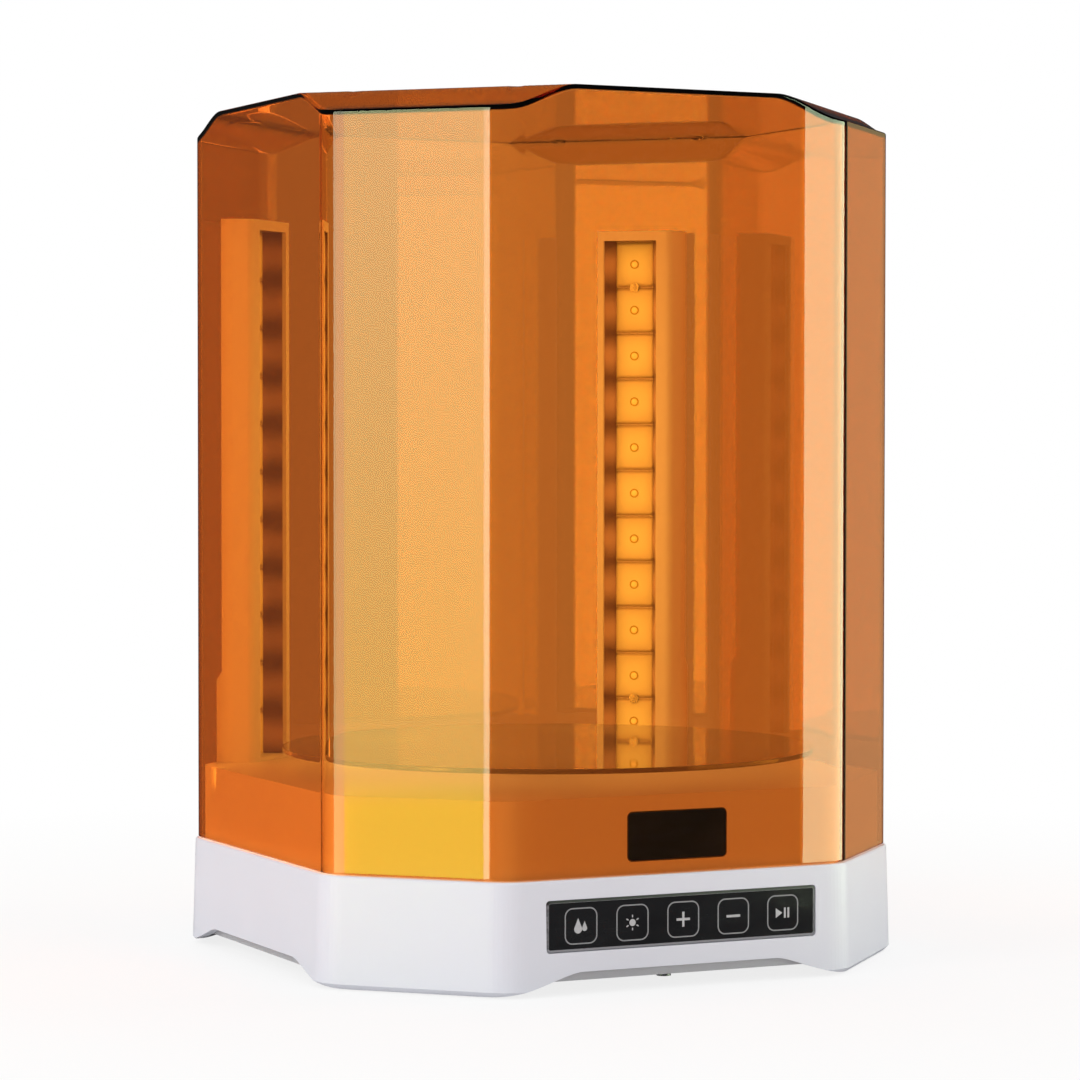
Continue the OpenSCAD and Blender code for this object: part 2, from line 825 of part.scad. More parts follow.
module turntable_hub() {
    color("#1F1F21") at_drive() difference() {
        translate([0, 0, hub_z]) cylinder(d = hub_d, h = disc_z - hub_z);
        translate([0, 0, hub_z - 1])
            cylinder(d = nose_d + 2 * nose_play, h = disc_z - hub_z - hub_roof + 1, $fn = 6);
    }
}

module turntable_disc() {
    edge = 0.3;
    r = table_d / 2;
    color("#F2C48A", 0.5) at_drive(disc_z) rotate_extrude($fn = 128) polygon([
        [0, 0], [r - edge, 0], [r, edge], [r, table_t - edge], [r - edge, table_t], [0, table_t]
    ]);
}

// Light columns, in column coordinates: x along the face, y into the column

function col_edge(v) = col_w2 + spread * v;

// Solid outline of a column, with a rounded front edge on its outer side
module column_outline(depth) {
    hull() {
        polygon([
            [-col_w2, 0], [0, 0], [col_edge(col_round * 2), col_round * 2],
            [col_edge(depth), depth], [-col_edge(depth), depth]
        ]);
        translate([col_w2 - col_round, col_round]) circle(col_round);
    }
}

module column_cavity_outline(depth) {
    front = col_wall;
    polygon([
        [side_wall - col_edge(front), front],
        [col_edge(front) - col_round, front],
        [col_edge(front + col_round) - side_wall, front + col_round],
        [col_edge(depth) - side_wall, depth],
        [side_wall - col_edge(depth), depth]
    ]);
}

// Tongue under the foot that locates the column in a slot in the deck
module tongue(play, len) {
    translate([slot_u0 + 1 - play, col_depth - 4 - play, 0])
        cube([tongue_w + 2 * play, tongue_t + 2 * play, len]);
}

module column_shell(side) {
    slope = 3.5;
    tongue_len = deck_plate;
    color("#F1EFF2") at_column(side, deck_z) difference() {
        union() {
            difference() {
                union() {
                    linear_extrude(col_h) column_outline(col_depth);
                    linear_extrude(plinth_h) column_outline(col_depth + plinth_extra);
                    hull() {
                        translate([0, 0, plinth_h - eps]) linear_extrude(eps)
                            column_outline(col_depth + plinth_extra);
                        translate([0, 0, plinth_h + slope]) linear_extrude(eps) column_outline(col_depth);
                    }
                }
                translate([0, 0, slot_sill]) linear_extrude(col_h - slot_sill - col_wall)
                    column_cavity_outline(col_depth + 1);
                translate([0, 0, slot_sill + plinth_extra])
                    linear_extrude(col_h / 2) column_cavity_outline(col_depth + plinth_extra + 1);
            }
            translate([col_boss_u, col_boss_v, 0]) cylinder(d = col_boss_d, h = col_screw_len + 2);
            for (z = back_screw_z)
                translate([col_boss_u, col_wall - eps, z]) rotate([-90, 0, 0])
                    cylinder(d = col_boss_d, h = col_depth - back_t - col_wall + eps);
            translate([0, 0, -tongue_len]) tongue(0, tongue_len + eps);
        }
        translate([slot_u0, -1, slot_sill]) cube([slot_w, col_wall + 2, slot_top - slot_sill]);
        translate([col_boss_u, col_boss_v, -1]) pilot(small_screw_d, col_screw_len + 1);
        for (z = back_screw_z)
            translate([col_boss_u, col_wall + 1, z]) rotate([-90, 0, 0]) pilot(small_screw_d, col_depth);
        translate([slot_mid, col_depth - 3.5, -5]) cylinder(d = 4, h = 10);
    }
}

// Funnel that leads from the slot in the face back to the lamp board
module reflector(side) {
    play = 0.15;
    z0 = slot_sill + play;
    z1 = slot_top;
    front = col_wall;
    half = slot_w / 2;
    floor_half = slot_floor_w / 2;
    lip = 0.9;
    color("#C9CACC") at_column(side, deck_z) translate([slot_mid, 0, 0]) {
        for (s = [-1, 1]) mirror([s < 0 ? 1 : 0, 0, 0]) translate([0, 0, z0]) linear_extrude(z1 - z0)
            polygon([
                [half, front], [half + lip, front], [half + lip, front + 0.8],
                [floor_half + reflector_t, board_v], [floor_half, board_v]
            ]);
        translate([0, 0, z1 - eps]) linear_extrude(reflector_t) polygon([
            [-half - lip, front], [half + lip, front], [half + lip, front + 0.8],
            [floor_half + reflector_t, board_v], [-floor_half - reflector_t, board_v],
            [-half - lip, front + 0.8]
        ]);
    }
}

module led_board(side) {
    z0 = slot_sill + 0.15;
    color("#F4F1EA") difference() {
        at_column(side, deck_z) translate([slot_mid - led_board_w / 2, board_v, z0])
            cube([led_board_w, led_board_t, slot_top + reflector_t - z0]);
        at_led_board_holes(side) rotate([-90, 0, 0]) translate([0, 0, -1])
            cylinder(d = small_screw_d + hole_play, h = led_board_t + 2);
    }
}

// Lamp chips: a square carrier with a low round lens
module leds(side) {
    chip = 3.5;
    chip_t = 0.8;
    lens_t = 0.7;
    color("#F5D76E") at_leds(side) {
        translate([-chip / 2, -chip_t, -chip / 2]) cube([chip, chip_t, chip]);
        translate([0, eps - chip_t, 0]) rotate([90, 0, 0])
            cylinder(d1 = chip - 0.6, d2 = 1.6, h = lens_t, $fn = 24);
    }
}

module column_back(side) {
    play = 0.25;
    half = col_edge(col_depth - back_t) - side_wall - play;
    color("#ECEAED") difference() {
        at_column(side, deck_z) translate([-half, col_depth - back_t, slot_sill + play])
            cube([2 * half, back_t, col_h - slot_sill - col_wall - 2 * play]);
        at_led_board_holes(side) rotate([-90, 0, 0]) pilot(small_screw_d, 10);
        at_back_plate_holes(side) translate([0, col_depth - back_t - 1, 0]) rotate([-90, 0, 0])
            cylinder(d = small_screw_d + hole_play, h = back_t + 2);
        at_back_plate_holes(side) translate([0, col_depth - small_head_h, 0]) rotate([-90, 0, 0])
            cylinder(d = small_head_d + hole_play, h = back_t);
    }
}

// One screw from under the deck into each column
module column_screws() {
    color("#8A8D90") for (side = [-1, 1]) at_column(side, deck_under)
        translate([col_boss_u, col_boss_v, 0])
            screw(small_screw_d, deck_plate + col_screw_len - 1.5, small_head_d, small_head_h);
}

module led_board_screws() {
    color("#8A8D90") for (side = [-1, 1]) at_led_board_holes(side) rotate([-90, 0, 0])
        screw(small_screw_d, led_board_t + back_t - 0.2, small_head_d, small_head_h);
}

module back_plate_screws() {
    color("#8A8D90") for (side = [-1, 1])
        at_back_plate_holes(side) translate([0, col_depth - small_head_h, 0]) rotate([90, 0, 0])
            screw(small_screw_d, back_screw_len, small_head_d, small_head_h);
}

// Cover

// Everything above the crown slope of one corner, in the plane square to its facet
module crown_outline() {
    steps = 10;
    points = [
        for (i = [0 : steps])
            let (t = i / steps)
            [crown_run * t, crown_drop * (3 * t * t - 2 * t * t * t - 1)]
    ];
    polygon(concat([[-30, -crown_drop]], points, [[crown_run, 20], [-30, 20]]));
}

// Octagonal block with a sloping crown at each corner, inset from the cover's outer face
module cover_block(inset, z0, z1) {
    difference() {
        octagon_prism(inset, z0, z1);
        for (sx = [-1, 1], sy = [-1, 1])
            translate([sx * (hw - corner_leg / 2), sy * (hd - corner_leg / 2), z1])
                rotate(atan2(-sy, -sx)) translate([inset, 0, 0])
                    rotate([90, 0, 0]) linear_extrude(cover_w, center = true) crown_outline();
    }
}

module cover() {
    rim = base_h + rim_gap;
    color("#D8741C", 0.45) difference() {
        cover_block(0, rim, rim + cover_h);
        cover_block(cover_wall, rim - 1, rim + cover_h - cover_roof);
    }
}

base_shell();
bottom_cover();
rubber_feet();
bottom_screws();
deck();
deck_screws();
control_panel();
touch_board();
display_window();
display_board();
main_board();
board_components();
board_screws();
dc_jack();
jack_nut();
power_switch();
power_rocker();
gear_motor();
motor_bracket();
motor_screws();
bracket_screws();
drive_shaft();
shaft_bush();
drive_rotor();
rotor_magnets();
drive_hub();
turntable_hub();
turntable_disc();
column_shell(-1);  // column_left
column_shell(1);  // column_right
reflector(-1);  // reflector_left
reflector(1);  // reflector_right
led_board(-1);  // led_board_left
led_board(1);  // led_board_right
leds(-1);  // leds_left
leds(1);  // leds_right
column_back(-1);  // column_back_left
column_back(1);  // column_back_right
column_screws();
led_board_screws();
back_plate_screws();
cover_sensor();
cover();
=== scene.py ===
"""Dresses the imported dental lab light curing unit: amber cover, white housing, touch panel, light
columns and turntable, in a pale studio, seen as in the photograph. Lengths are metres."""

import json
from math import acos, atan2, cos, pi, radians, sin, sqrt, tan

import bmesh
import bpy
from mathutils import Matrix, Vector


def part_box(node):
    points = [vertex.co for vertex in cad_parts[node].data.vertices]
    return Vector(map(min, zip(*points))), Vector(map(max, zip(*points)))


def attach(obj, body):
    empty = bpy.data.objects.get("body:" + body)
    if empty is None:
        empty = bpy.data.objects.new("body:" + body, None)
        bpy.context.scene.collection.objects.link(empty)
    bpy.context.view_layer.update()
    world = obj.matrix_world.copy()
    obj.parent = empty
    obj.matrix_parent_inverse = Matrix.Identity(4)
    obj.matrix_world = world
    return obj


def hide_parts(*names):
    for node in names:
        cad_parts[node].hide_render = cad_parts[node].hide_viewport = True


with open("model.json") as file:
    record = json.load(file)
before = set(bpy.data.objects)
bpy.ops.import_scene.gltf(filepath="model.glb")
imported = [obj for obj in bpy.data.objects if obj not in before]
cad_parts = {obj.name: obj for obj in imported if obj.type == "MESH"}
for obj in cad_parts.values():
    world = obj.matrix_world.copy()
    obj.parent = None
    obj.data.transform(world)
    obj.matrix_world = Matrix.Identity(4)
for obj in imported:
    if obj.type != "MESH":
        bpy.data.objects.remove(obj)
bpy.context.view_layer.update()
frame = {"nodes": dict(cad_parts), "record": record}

MM = 0.001

# Camera, fitted to the photograph

CAMERA_TARGET = Vector((0.765, 0, 169.256)) * MM
CAMERA_DISTANCE = 1496.883 * MM
CAMERA_YAW = radians(25.662)
CAMERA_PITCH = radians(1.716)
CAMERA_ROLL = radians(0.047)
CAMERA_LENS = 119.843
SENSOR = 36


def add_camera():
    data = bpy.data.cameras.new("camera")
    data.lens = CAMERA_LENS
    data.sensor_width = SENSOR
    data.clip_start = 0.01
    data.clip_end = 100
    camera = bpy.data.objects.new("camera", data)
    bpy.context.scene.collection.objects.link(camera)
    back = Vector((
        -sin(CAMERA_YAW) * cos(CAMERA_PITCH),
        -cos(CAMERA_YAW) * cos(CAMERA_PITCH),
        sin(CAMERA_PITCH),
    ))
    turn = back.to_track_quat("Z", "Y").to_matrix().to_4x4() @ Matrix.Rotation(CAMERA_ROLL, 4, "Z")
    camera.matrix_world = Matrix.Translation(CAMERA_TARGET + back * CAMERA_DISTANCE) @ turn
    bpy.context.scene.camera = camera


# Node helpers


class Nodes:
    """A node tree, with short calls for the nodes used here."""

    def __init__(self, tree, output):
        self.tree = tree
        self.tree.nodes.clear()
        self.out = self.add(output)

    def add(self, kind, **values):
        node = self.tree.nodes.new(kind)
        for key, value in values.items():
            setattr(node, key, value)
        return node

    def link(self, source, target):
        self.tree.links.new(source, target)

    def principled(self, **inputs):
        node = self.add("ShaderNodeBsdfPrincipled")
        for key, value in inputs.items():
            node.inputs[key.replace("_", " ")].default_value = value
        self.link(node.outputs[0], self.out.inputs["Surface"])
        return node

    def place(self):
        """Position in the object's own space, which follows a moving piece."""
        return self.add("ShaderNodeTexCoord").outputs["Object"]

    def noise(self, scale, detail=2, roughness=0.5, stretch=None):
        source = self.place()
        if stretch:
            mapping = self.add("ShaderNodeMapping")
            mapping.inputs["Scale"].default_value = stretch
            self.link(source, mapping.inputs["Vector"])
            source = mapping.outputs[0]
        node = self.add("ShaderNodeTexNoise")
        node.inputs["Scale"].default_value = scale
        node.inputs["Detail"].default_value = detail
        node.inputs["Roughness"].default_value = roughness
        self.link(source, node.inputs["Vector"])
        return node.outputs["Fac"]

    def blend(self, factor, stops):
        """A factor spread over colours, each given with its place from 0 to 1."""
        node = self.add("ShaderNodeValToRGB")
        elements = node.color_ramp.elements
        while len(elements) < len(stops):
            elements.new(1)
        for element, (place, color) in zip(elements, stops):
            element.position = place
            element.color = (*color, 1)
        self.link(factor, node.inputs["Fac"])
        return node.outputs["Color"]

    def ramp(self, factor, low, high, start=0.3, end=0.7):
        """A factor spread between two colours."""
        return self.blend(factor, ((start, low), (end, high)))

    def span(self, factor, low, high, start=0, end=1):
        node = self.add("ShaderNodeMapRange")
        for key, value in (("From Min", start), ("From Max", end), ("To Min", low), ("To Max", high)):
            node.inputs[key].default_value = value
        self.link(factor, node.inputs["Value"])
        return node.outputs["Result"]

    def math(self, operation, a, b=None):
        node = self.add("ShaderNodeMath", operation=operation)
        for socket, value in zip(node.inputs, (a, b)):
            if value is None:
                continue
            if isinstance(value, (int, float)):
                socket.default_value = value
            else:
                self.link(value, socket)
        return node.outputs[0]

    def bump(self, height, distance, strength=1):
        node = self.add("ShaderNodeBump")
        node.inputs["Distance"].default_value = distance
        node.inputs["Strength"].default_value = strength
        self.link(height, node.inputs["Height"])
        return node.outputs["Normal"]


class Shader(Nodes):
    """A new material."""

    def __init__(self, name):
        self.material = bpy.data.materials.new(name)
        self.material.use_nodes = True
        super().__init__(self.material.node_tree, "ShaderNodeOutputMaterial")


def tone(color, share):
    return tuple(min(c * share, 1) for c in color)


# Height of the lowest lamp and spacing of the lamps, which the painted lamp reflections on the reflector
# sheets follow
LAMP_START = 84.3 * MM
LAMP_PITCH = 20.5 * MM

# Materials


def moulded(name, color, roughness, grain=0.00002, grain_scale=2600, **extra):
    """Moulded plastic: slight mottling, uneven gloss and the fine texture of the tool."""
    s = Shader(name)
    p = s.principled(**extra)
    s.link(s.ramp(s.noise(9, 3), tone(color, 0.985), tone(color, 1.015)), p.inputs["Base Color"])
    s.link(s.span(s.noise(60, 4), roughness * 0.88, roughness * 1.12, 0.3, 0.7), p.inputs["Roughness"])
    s.link(s.bump(s.noise(grain_scale, 2), grain), p.inputs["Normal"])
    return s.material


def metal(name, color, roughness, stretch=None, grain=0.00001):
    s = Shader(name)
    p = s.principled(Metallic=1.0)
    lines = s.noise(900, 3, 0.6, stretch)
    s.link(s.ramp(s.noise(40, 3), tone(color, 0.93), tone(color, 1.05)), p.inputs["Base Color"])
    s.link(s.span(lines, roughness * 0.75, roughness * 1.3, 0.3, 0.7), p.inputs["Roughness"])
    s.link(s.bump(lines, grain), p.inputs["Normal"])
    return s.material


def gloss_black(name, color, roughness):
    """Gloss plastic with faint wipe marks in the shine."""
    s = Shader(name)
    p = s.principled(IOR=1.5)
    smudge = s.noise(38, 5, 0.65, (1, 1, 3))
    s.link(s.ramp(smudge, tone(color, 0.85), tone(color, 1.25)), p.inputs["Base Color"])
    s.link(s.span(smudge, roughness * 0.7, roughness * 1.6, 0.3, 0.75), p.inputs["Roughness"])
    return s.material


def circuit_board(name):
    """Green solder mask over a copper layer that shows as slightly raised lines."""
    s = Shader(name)
    p = s.principled()
    traces = s.add("ShaderNodeTexBrick")
    traces.inputs["Scale"].default_value = 170
    traces.inputs["Mortar Size"].default_value = 0.035
    s.link(s.place(), traces.inputs["Vector"])
    color = s.ramp(traces.outputs["Fac"], (0.012, 0.075, 0.022), (0.03, 0.16, 0.05), 0, 1)
    s.link(color, p.inputs["Base Color"])
    s.link(s.span(s.noise(80, 3), 0.28, 0.42), p.inputs["Roughness"])
    s.link(s.bump(traces.outputs["Fac"], 0.00004), p.inputs["Normal"])
    return s.material


# Volume Absorption of the amber acrylic, which takes (1 - colour) x density of the light per metre
AMBER_COLOR = (0.825, 0.505, 0.018)
AMBER_DENSITY = 800
# Factor on a lamp's light at each face of the cover, above 1 to make up for light that is lost inside
LIGHT_THROUGH = (1.42, 1.56, 1.7)
# The wall at the left, beyond LEFT_WALL on X, lets more through, which LEFT_FADE blends in
LEFT_GAIN = 1.28
LEFT_WALL = -123.5 * MM
LEFT_FADE = 3.5 * MM


def through_glass(s, solid, window):
    """Glass for sight, and a clear window for rays from lamps, so that what is inside is lit."""
    path = s.add("ShaderNodeLightPath")
    mix = s.add("ShaderNodeMixShader")
    scattered = s.math("GREATER_THAN", path.outputs["Diffuse Depth"], 0.5)
    s.link(s.math("MAXIMUM", path.outputs["Is Shadow Ray"], scattered), mix.inputs["Fac"])
    s.link(solid.outputs[0], mix.inputs[1])
    s.link(window.outputs[0], mix.inputs[2])
    s.link(mix.outputs[0], s.out.inputs["Surface"])


def amber_acrylic(name):
    s = Shader(name)
    glass = s.principled(Transmission_Weight=1.0, IOR=1.49)
    glass.inputs["Base Color"].default_value = (1, 1, 1, 1)
    s.link(s.span(s.noise(30, 4), 0.0, 0.012, 0.45, 0.8), glass.inputs["Roughness"])
    window = s.add("ShaderNodeBsdfTransparent")
    across = s.add("ShaderNodeSeparateXYZ")
    s.link(s.place(), across.inputs[0])
    share = s.add("ShaderNodeVectorMath", operation="SCALE")
    share.inputs[0].default_value = LIGHT_THROUGH
    gain = s.span(across.outputs["X"], LEFT_GAIN, 1, LEFT_WALL, LEFT_WALL + LEFT_FADE)
    s.link(gain, share.inputs["Scale"])
    s.link(share.outputs[0], window.inputs["Color"])
    through_glass(s, glass, window)
    inside = s.add("ShaderNodeVolumeAbsorption")
    inside.inputs["Color"].default_value = (*AMBER_COLOR, 1)
    inside.inputs["Density"].default_value = AMBER_DENSITY
    s.link(inside.outputs[0], s.out.inputs["Volume"])
    return s.material


def clear_acrylic(name):
    """Smoky acrylic that lets part of the light through."""
    s = Shader(name)
    glass = s.principled(Transmission_Weight=0.12, IOR=1.5)
    s.link(s.ramp(s.noise(20, 3), (0.24, 0.22, 0.21), (0.28, 0.26, 0.25)), glass.inputs["Base Color"])
    s.link(s.span(s.noise(45, 4), 0.03, 0.08, 0.4, 0.8), glass.inputs["Roughness"])
    window = s.add("ShaderNodeBsdfTransparent")
    window.inputs["Color"].default_value = (0.9, 0.91, 0.91, 1)
    through_glass(s, glass, window)
    return s.material


def lamp_board(name):
    """Pale solder mask under the lamp tiles."""
    s = Shader(name)
    p = s.principled()
    s.link(s.ramp(s.noise(30, 3), (0.66, 0.54, 0.38), (0.72, 0.60, 0.42)), p.inputs["Base Color"])
    s.link(s.span(s.noise(80, 3), 0.3, 0.42), p.inputs["Roughness"])
    return s.material


def painted_glow_tile(name):
    """Tile with painted lamp light: it glows though it is no lamp, with a painted pool of light brighter
    towards its middle.
    """
    s = Shader(name)
    p = s.principled(Roughness=0.35)
    # glow carries painted lamp light: 1 at a tile's middle, falling to 0 at its edges
    glow = s.add("ShaderNodeAttribute", attribute_name="glow").outputs["Fac"]
    s.link(s.ramp(s.noise(60, 3), (0.72, 0.60, 0.36), (0.80, 0.68, 0.42)), p.inputs["Base Color"])
    s.link(s.ramp(glow, (0.30, 0.16, 0.03), (0.95, 0.98, 0.25), 0, 1), p.inputs["Emission Color"])
    p.inputs["Emission Strength"].default_value = 0.58
    return s.material


def lamp_lens(name):
    s = Shader(name)
    p = s.principled(Roughness=0.08, IOR=1.5)
    s.link(s.ramp(s.noise(400, 2), (0.9, 0.72, 0.3), (1.0, 0.82, 0.4)), p.inputs["Base Color"])
    p.inputs["Emission Color"].default_value = (1.0, 0.82, 0.2, 1)
    p.inputs["Emission Strength"].default_value = 0.9
    return s.material


def rim_with_painted_highlight(name, below, above):
    """Plastic of a narrow bevel, with a painted highlight: pale on the faces that look down, dark on the
    others.
    """
    s = Shader(name)
    p = s.principled(Roughness=0.6)
    facing = s.add("ShaderNodeSeparateXYZ")
    s.link(s.add("ShaderNodeTexCoord").outputs["Normal"], facing.inputs[0])
    grain = s.math("MULTIPLY", s.noise(900, 2), 0.1)
    # painted highlight by facing: pale where the face looks down or sideways, dark where it looks up
    s.link(s.ramp(s.math("ADD", facing.outputs["Z"], grain), below, above, 0, 0.1), p.inputs["Base Color"])
    return s.material


def reflector_sheet(name):
    """Bright sheet at the sides of the light slots, with a painted reflection of each lamp: a paler patch
    beside it.
    """
    s = Shader(name)
    p = s.principled(Metallic=0.5, Roughness=0.3)
    rise = s.add("ShaderNodeSeparateXYZ")
    s.link(s.place(), rise.inputs[0])
    from_lamp = s.math("SUBTRACT", rise.outputs["Z"], LAMP_START)
    # painted reflection of the lamps: paler at each lamp's height, spaced at the lamp pitch
    lamp_reflection_wave = s.math("COSINE", s.math("MULTIPLY", from_lamp, 2 * pi / LAMP_PITCH))
    painted_lamp_reflection = s.math("ADD", lamp_reflection_wave, s.math("MULTIPLY", s.noise(90, 3), 0.8))
    level = s.span(painted_lamp_reflection, 0, 1, -0.6, 1.4)
    s.link(s.ramp(level, (0.28, 0.18, 0.20), (0.66, 0.46, 0.52), 0, 1), p.inputs["Base Color"])
    return s.material


def printed_ink(name, color):
    s = Shader(name)
    p = s.principled(Roughness=0.5)
    s.link(s.ramp(s.noise(900, 2), tone(color, 0.93), tone(color, 1.05)), p.inputs["Base Color"])
    return s.material


MATERIALS = {
    "white_shell": moulded("white_shell", (0.785, 0.795, 0.855), 0.38, IOR=1.46),
    "white_deck": moulded("white_deck", (0.80, 0.79, 0.80), 0.42, IOR=1.46),
    "grey_plastic": moulded("grey_plastic", (0.55, 0.55, 0.565), 0.5, 0.00005),
    "dark_plastic": moulded("dark_plastic", (0.035, 0.035, 0.038), 0.55, 0.00005),
    "foot_rubber": moulded("foot_rubber", (0.02, 0.02, 0.02), 0.8, 0.00008),
    "screw_steel": metal("screw_steel", (0.55, 0.56, 0.58), 0.3),
    "panel_black": gloss_black("panel_black", (0.012, 0.012, 0.013), 0.12),
    "display_black": gloss_black("display_black", (0.014, 0.032, 0.11), 0.08),
    "circuit_board": circuit_board("circuit_board"),
    "rocker_black": moulded("rocker_black", (0.02, 0.02, 0.022), 0.3),
    "motor_steel": metal("motor_steel", (0.56, 0.57, 0.59), 0.32, (1, 1, 12)),
    "shaft_steel": metal("shaft_steel", (0.62, 0.63, 0.65), 0.18, (1, 1, 20)),
    "bush_brass": metal("bush_brass", (0.62, 0.43, 0.16), 0.25),
    "rotor_plastic": moulded("rotor_plastic", (0.62, 0.62, 0.6), 0.5),
    "magnet_nickel": metal("magnet_nickel", (0.66, 0.66, 0.68), 0.15),
    "clear_acrylic": clear_acrylic("clear_acrylic"),
    "reflector_sheet": reflector_sheet("reflector_sheet"),
    "lamp_board": lamp_board("lamp_board"),
    "lamp_chip": moulded("lamp_chip", (0.72, 0.52, 0.10), 0.25),
    "amber_acrylic": amber_acrylic("amber_acrylic"),
}
PAINTED_GLOW_TILE_MATERIAL = painted_glow_tile("painted_glow_tile")
LENS_MATERIAL = lamp_lens("lamp_lens")
PRINT_GREY = printed_ink("print_grey", (0.30, 0.30, 0.31))
PRINT_PALE = printed_ink("print_pale", (0.52, 0.52, 0.53))
# Window rims with a painted highlight on their down-facing faces
PANEL_RIM = rim_with_painted_highlight("panel_rim", (0.32, 0.32, 0.34), (0.035, 0.035, 0.037))
DISPLAY_RIM = rim_with_painted_highlight("display_rim", (0.10, 0.09, 0.10), (0.05, 0.05, 0.06))


def dress_nodes():
    """Gives every CAD node the material of its slot."""
    slots = {row["node"]: row["material_slot"] for row in frame["record"]["subparts"]}
    for node, obj in frame["nodes"].items():
        for place in obj.material_slots:
            place.material = MATERIALS[slots[node]]


# Cover

COVER_LOW, COVER_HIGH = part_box("cover")
HALF = COVER_HIGH.x
TOP = COVER_HIGH.z
RIM = COVER_LOW.z
LEG = 52.3 * MM
CORNER_R = 17 * MM
WALL = 2.5 * MM
ROOF = 1.6 * MM
CROWN_DROP = 8.8 * MM
CROWN_RUN = 21.2 * MM
TOP_EDGE = 0.9 * MM
RIM_EDGE = 0.5 * MM
# Distance of the supporting points that keep flat faces flat under smooth shading
HOLD = 0.35 * MM


def octagon_corners(inset):
    """Corner points of the octagon, counterclockwise from the front right, with an inset."""
    x = HALF - inset
    leg = LEG - inset * (2 - sqrt(2))
    quarter = [Vector((x - leg, -x)), Vector((x, leg - x))]
    corners = []
    for k in range(4):
        turn = Matrix.Rotation(k * pi / 2, 2)
        corners += [turn @ p for p in quarter]
    return corners


def octagon_ring(inset, radius, arc_steps=10, marks=()):
    """Points round the octagon with rounded corners. marks are distances from a corner at which the
    long sides get a point."""
    corners = octagon_corners(inset)
    count = len(corners)
    arcs = []
    for k, corner in enumerate(corners):
        before = (corner - corners[k - 1]).normalized()
        after = (corners[(k + 1) % count] - corner).normalized()
        half_turn = before.angle(after) / 2
        reach = radius * tan(half_turn)
        center = corner + (after - before).normalized() * (radius / cos(half_turn))
        start = corner - before * reach
        first = atan2(*(start - center).yx)
        arcs.append([
            center + Vector((cos(a), sin(a))) * radius
            for a in (first + 2 * half_turn * i / arc_steps for i in range(arc_steps + 1))
        ])
    ring = []
    for k in range(count):
        a, b = arcs[k][-1], arcs[(k + 1) % count][0]
        side = (b - a).length
        hold = HOLD / side
        ring += arcs[k]
        ring.append(a.lerp(b, hold))
        if k % 2 == 1:
            length = (corners[(k + 1) % count] - corners[k]).length
            offset = (a - corners[k]).length
            places = [*marks, *(length - d for d in reversed(marks))]
            shares = [min(max((d - offset) / side, 1.5 * hold), 1 - 1.5 * hold) for d in places]
        else:
            shares = [i / 6 for i in range(1, 6)]
        ring += [a.lerp(b, share) for share in shares]
        ring.append(a.lerp(b, 1 - hold))
    return ring


def crown(x, y, facet_inset, roof_z):
    """Height of the roof surface, which falls in a smooth S towards each corner facet."""
    depth = (2 * HALF - LEG - abs(x) - abs(y)) / sqrt(2) - facet_inset
    t = min(max(depth / CROWN_RUN, 0), 1)
    return roof_z - CROWN_DROP * (1 - (3 * t * t - 2 * t * t * t))


def link_mesh(name, verts, faces, material):
    mesh = bpy.data.meshes.new(name)
    mesh.from_pydata([tuple(v) for v in verts], [], faces)
    mesh.materials.append(material)
    obj = bpy.data.objects.new(name, mesh)
    bpy.context.scene.collection.objects.link(obj)
    return obj


def mesh_object(name, verts, faces, material, body, smooth=True):
    """A new piece that rides on a body."""
    obj = link_mesh(name, verts, faces, material)
    for polygon in obj.data.polygons:
        polygon.use_smooth = smooth
    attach(obj, body)
    return obj


# Distances from a corner at which the walls follow the crown, and insets of the roof's rings
CROWN_MARKS = [d * MM for d in (8, 10, 12, 14, 16, 18, 20, 22, 24, 26, 28, 30, 31.5)]
TOP_INSETS = [d * MM for d in (1.3, 2.2, 3.4, 5, 7, 9, 11, 13, 15, 17, 19, 21, 24, 28, 34, 48, 72)]


def shell_rings(inset, roof_z, edge, lowest):
    """Rings of one face of the cover, from its lowest ring up the wall and over the roof."""
    steps = 4

    def ring(extra):
        total = inset + extra
        return octagon_ring(total, max(CORNER_R - total, 1.2 * MM), marks=CROWN_MARKS)

    outline = ring(0)
    tops = [crown(p.x, p.y, inset, roof_z) - edge for p in outline]
    rings = [[Vector((p.x, p.y, z)) for p in outline] for z in (lowest, lowest + HOLD)]
    for share in (0.25, 0.5, 0.75, 0.93):
        rings.append([
            Vector((p.x, p.y, lowest + (top - lowest) * share)) for p, top in zip(outline, tops)
        ])
    rings.append([Vector((p.x, p.y, top - HOLD)) for p, top in zip(outline, tops)])
    rings.append([Vector((p.x, p.y, top)) for p, top in zip(outline, tops)])
    for i in range(1, steps + 1):
        a = i / steps * pi / 2
        inner = ring(edge * (1 - cos(a)))
        rings.append([
            Vector((p.x, p.y, crown(p.x, p.y, inset, roof_z) - edge * (1 - sin(a)))) for p in inner
        ])
    for extra in TOP_INSETS:
        inner = ring(extra)
        rings.append([Vector((p.x, p.y, crown(p.x, p.y, inset, roof_z))) for p in inner])
    return rings


def bridge(rings, closed_loop=False):
    """Vertices and quads that join rings of equal length, each to the next."""
    count = len(rings[0])
    verts = [v for ring in rings for v in ring]
    faces = []
    for r in range(len(rings) if closed_loop else len(rings) - 1):
        a = r * count
        b = ((r + 1) % len(rings)) * count
        for i in range(count):
            j = (i + 1) % count
            faces.append((a + i, a + j, b + j, b + i))
    return verts, faces


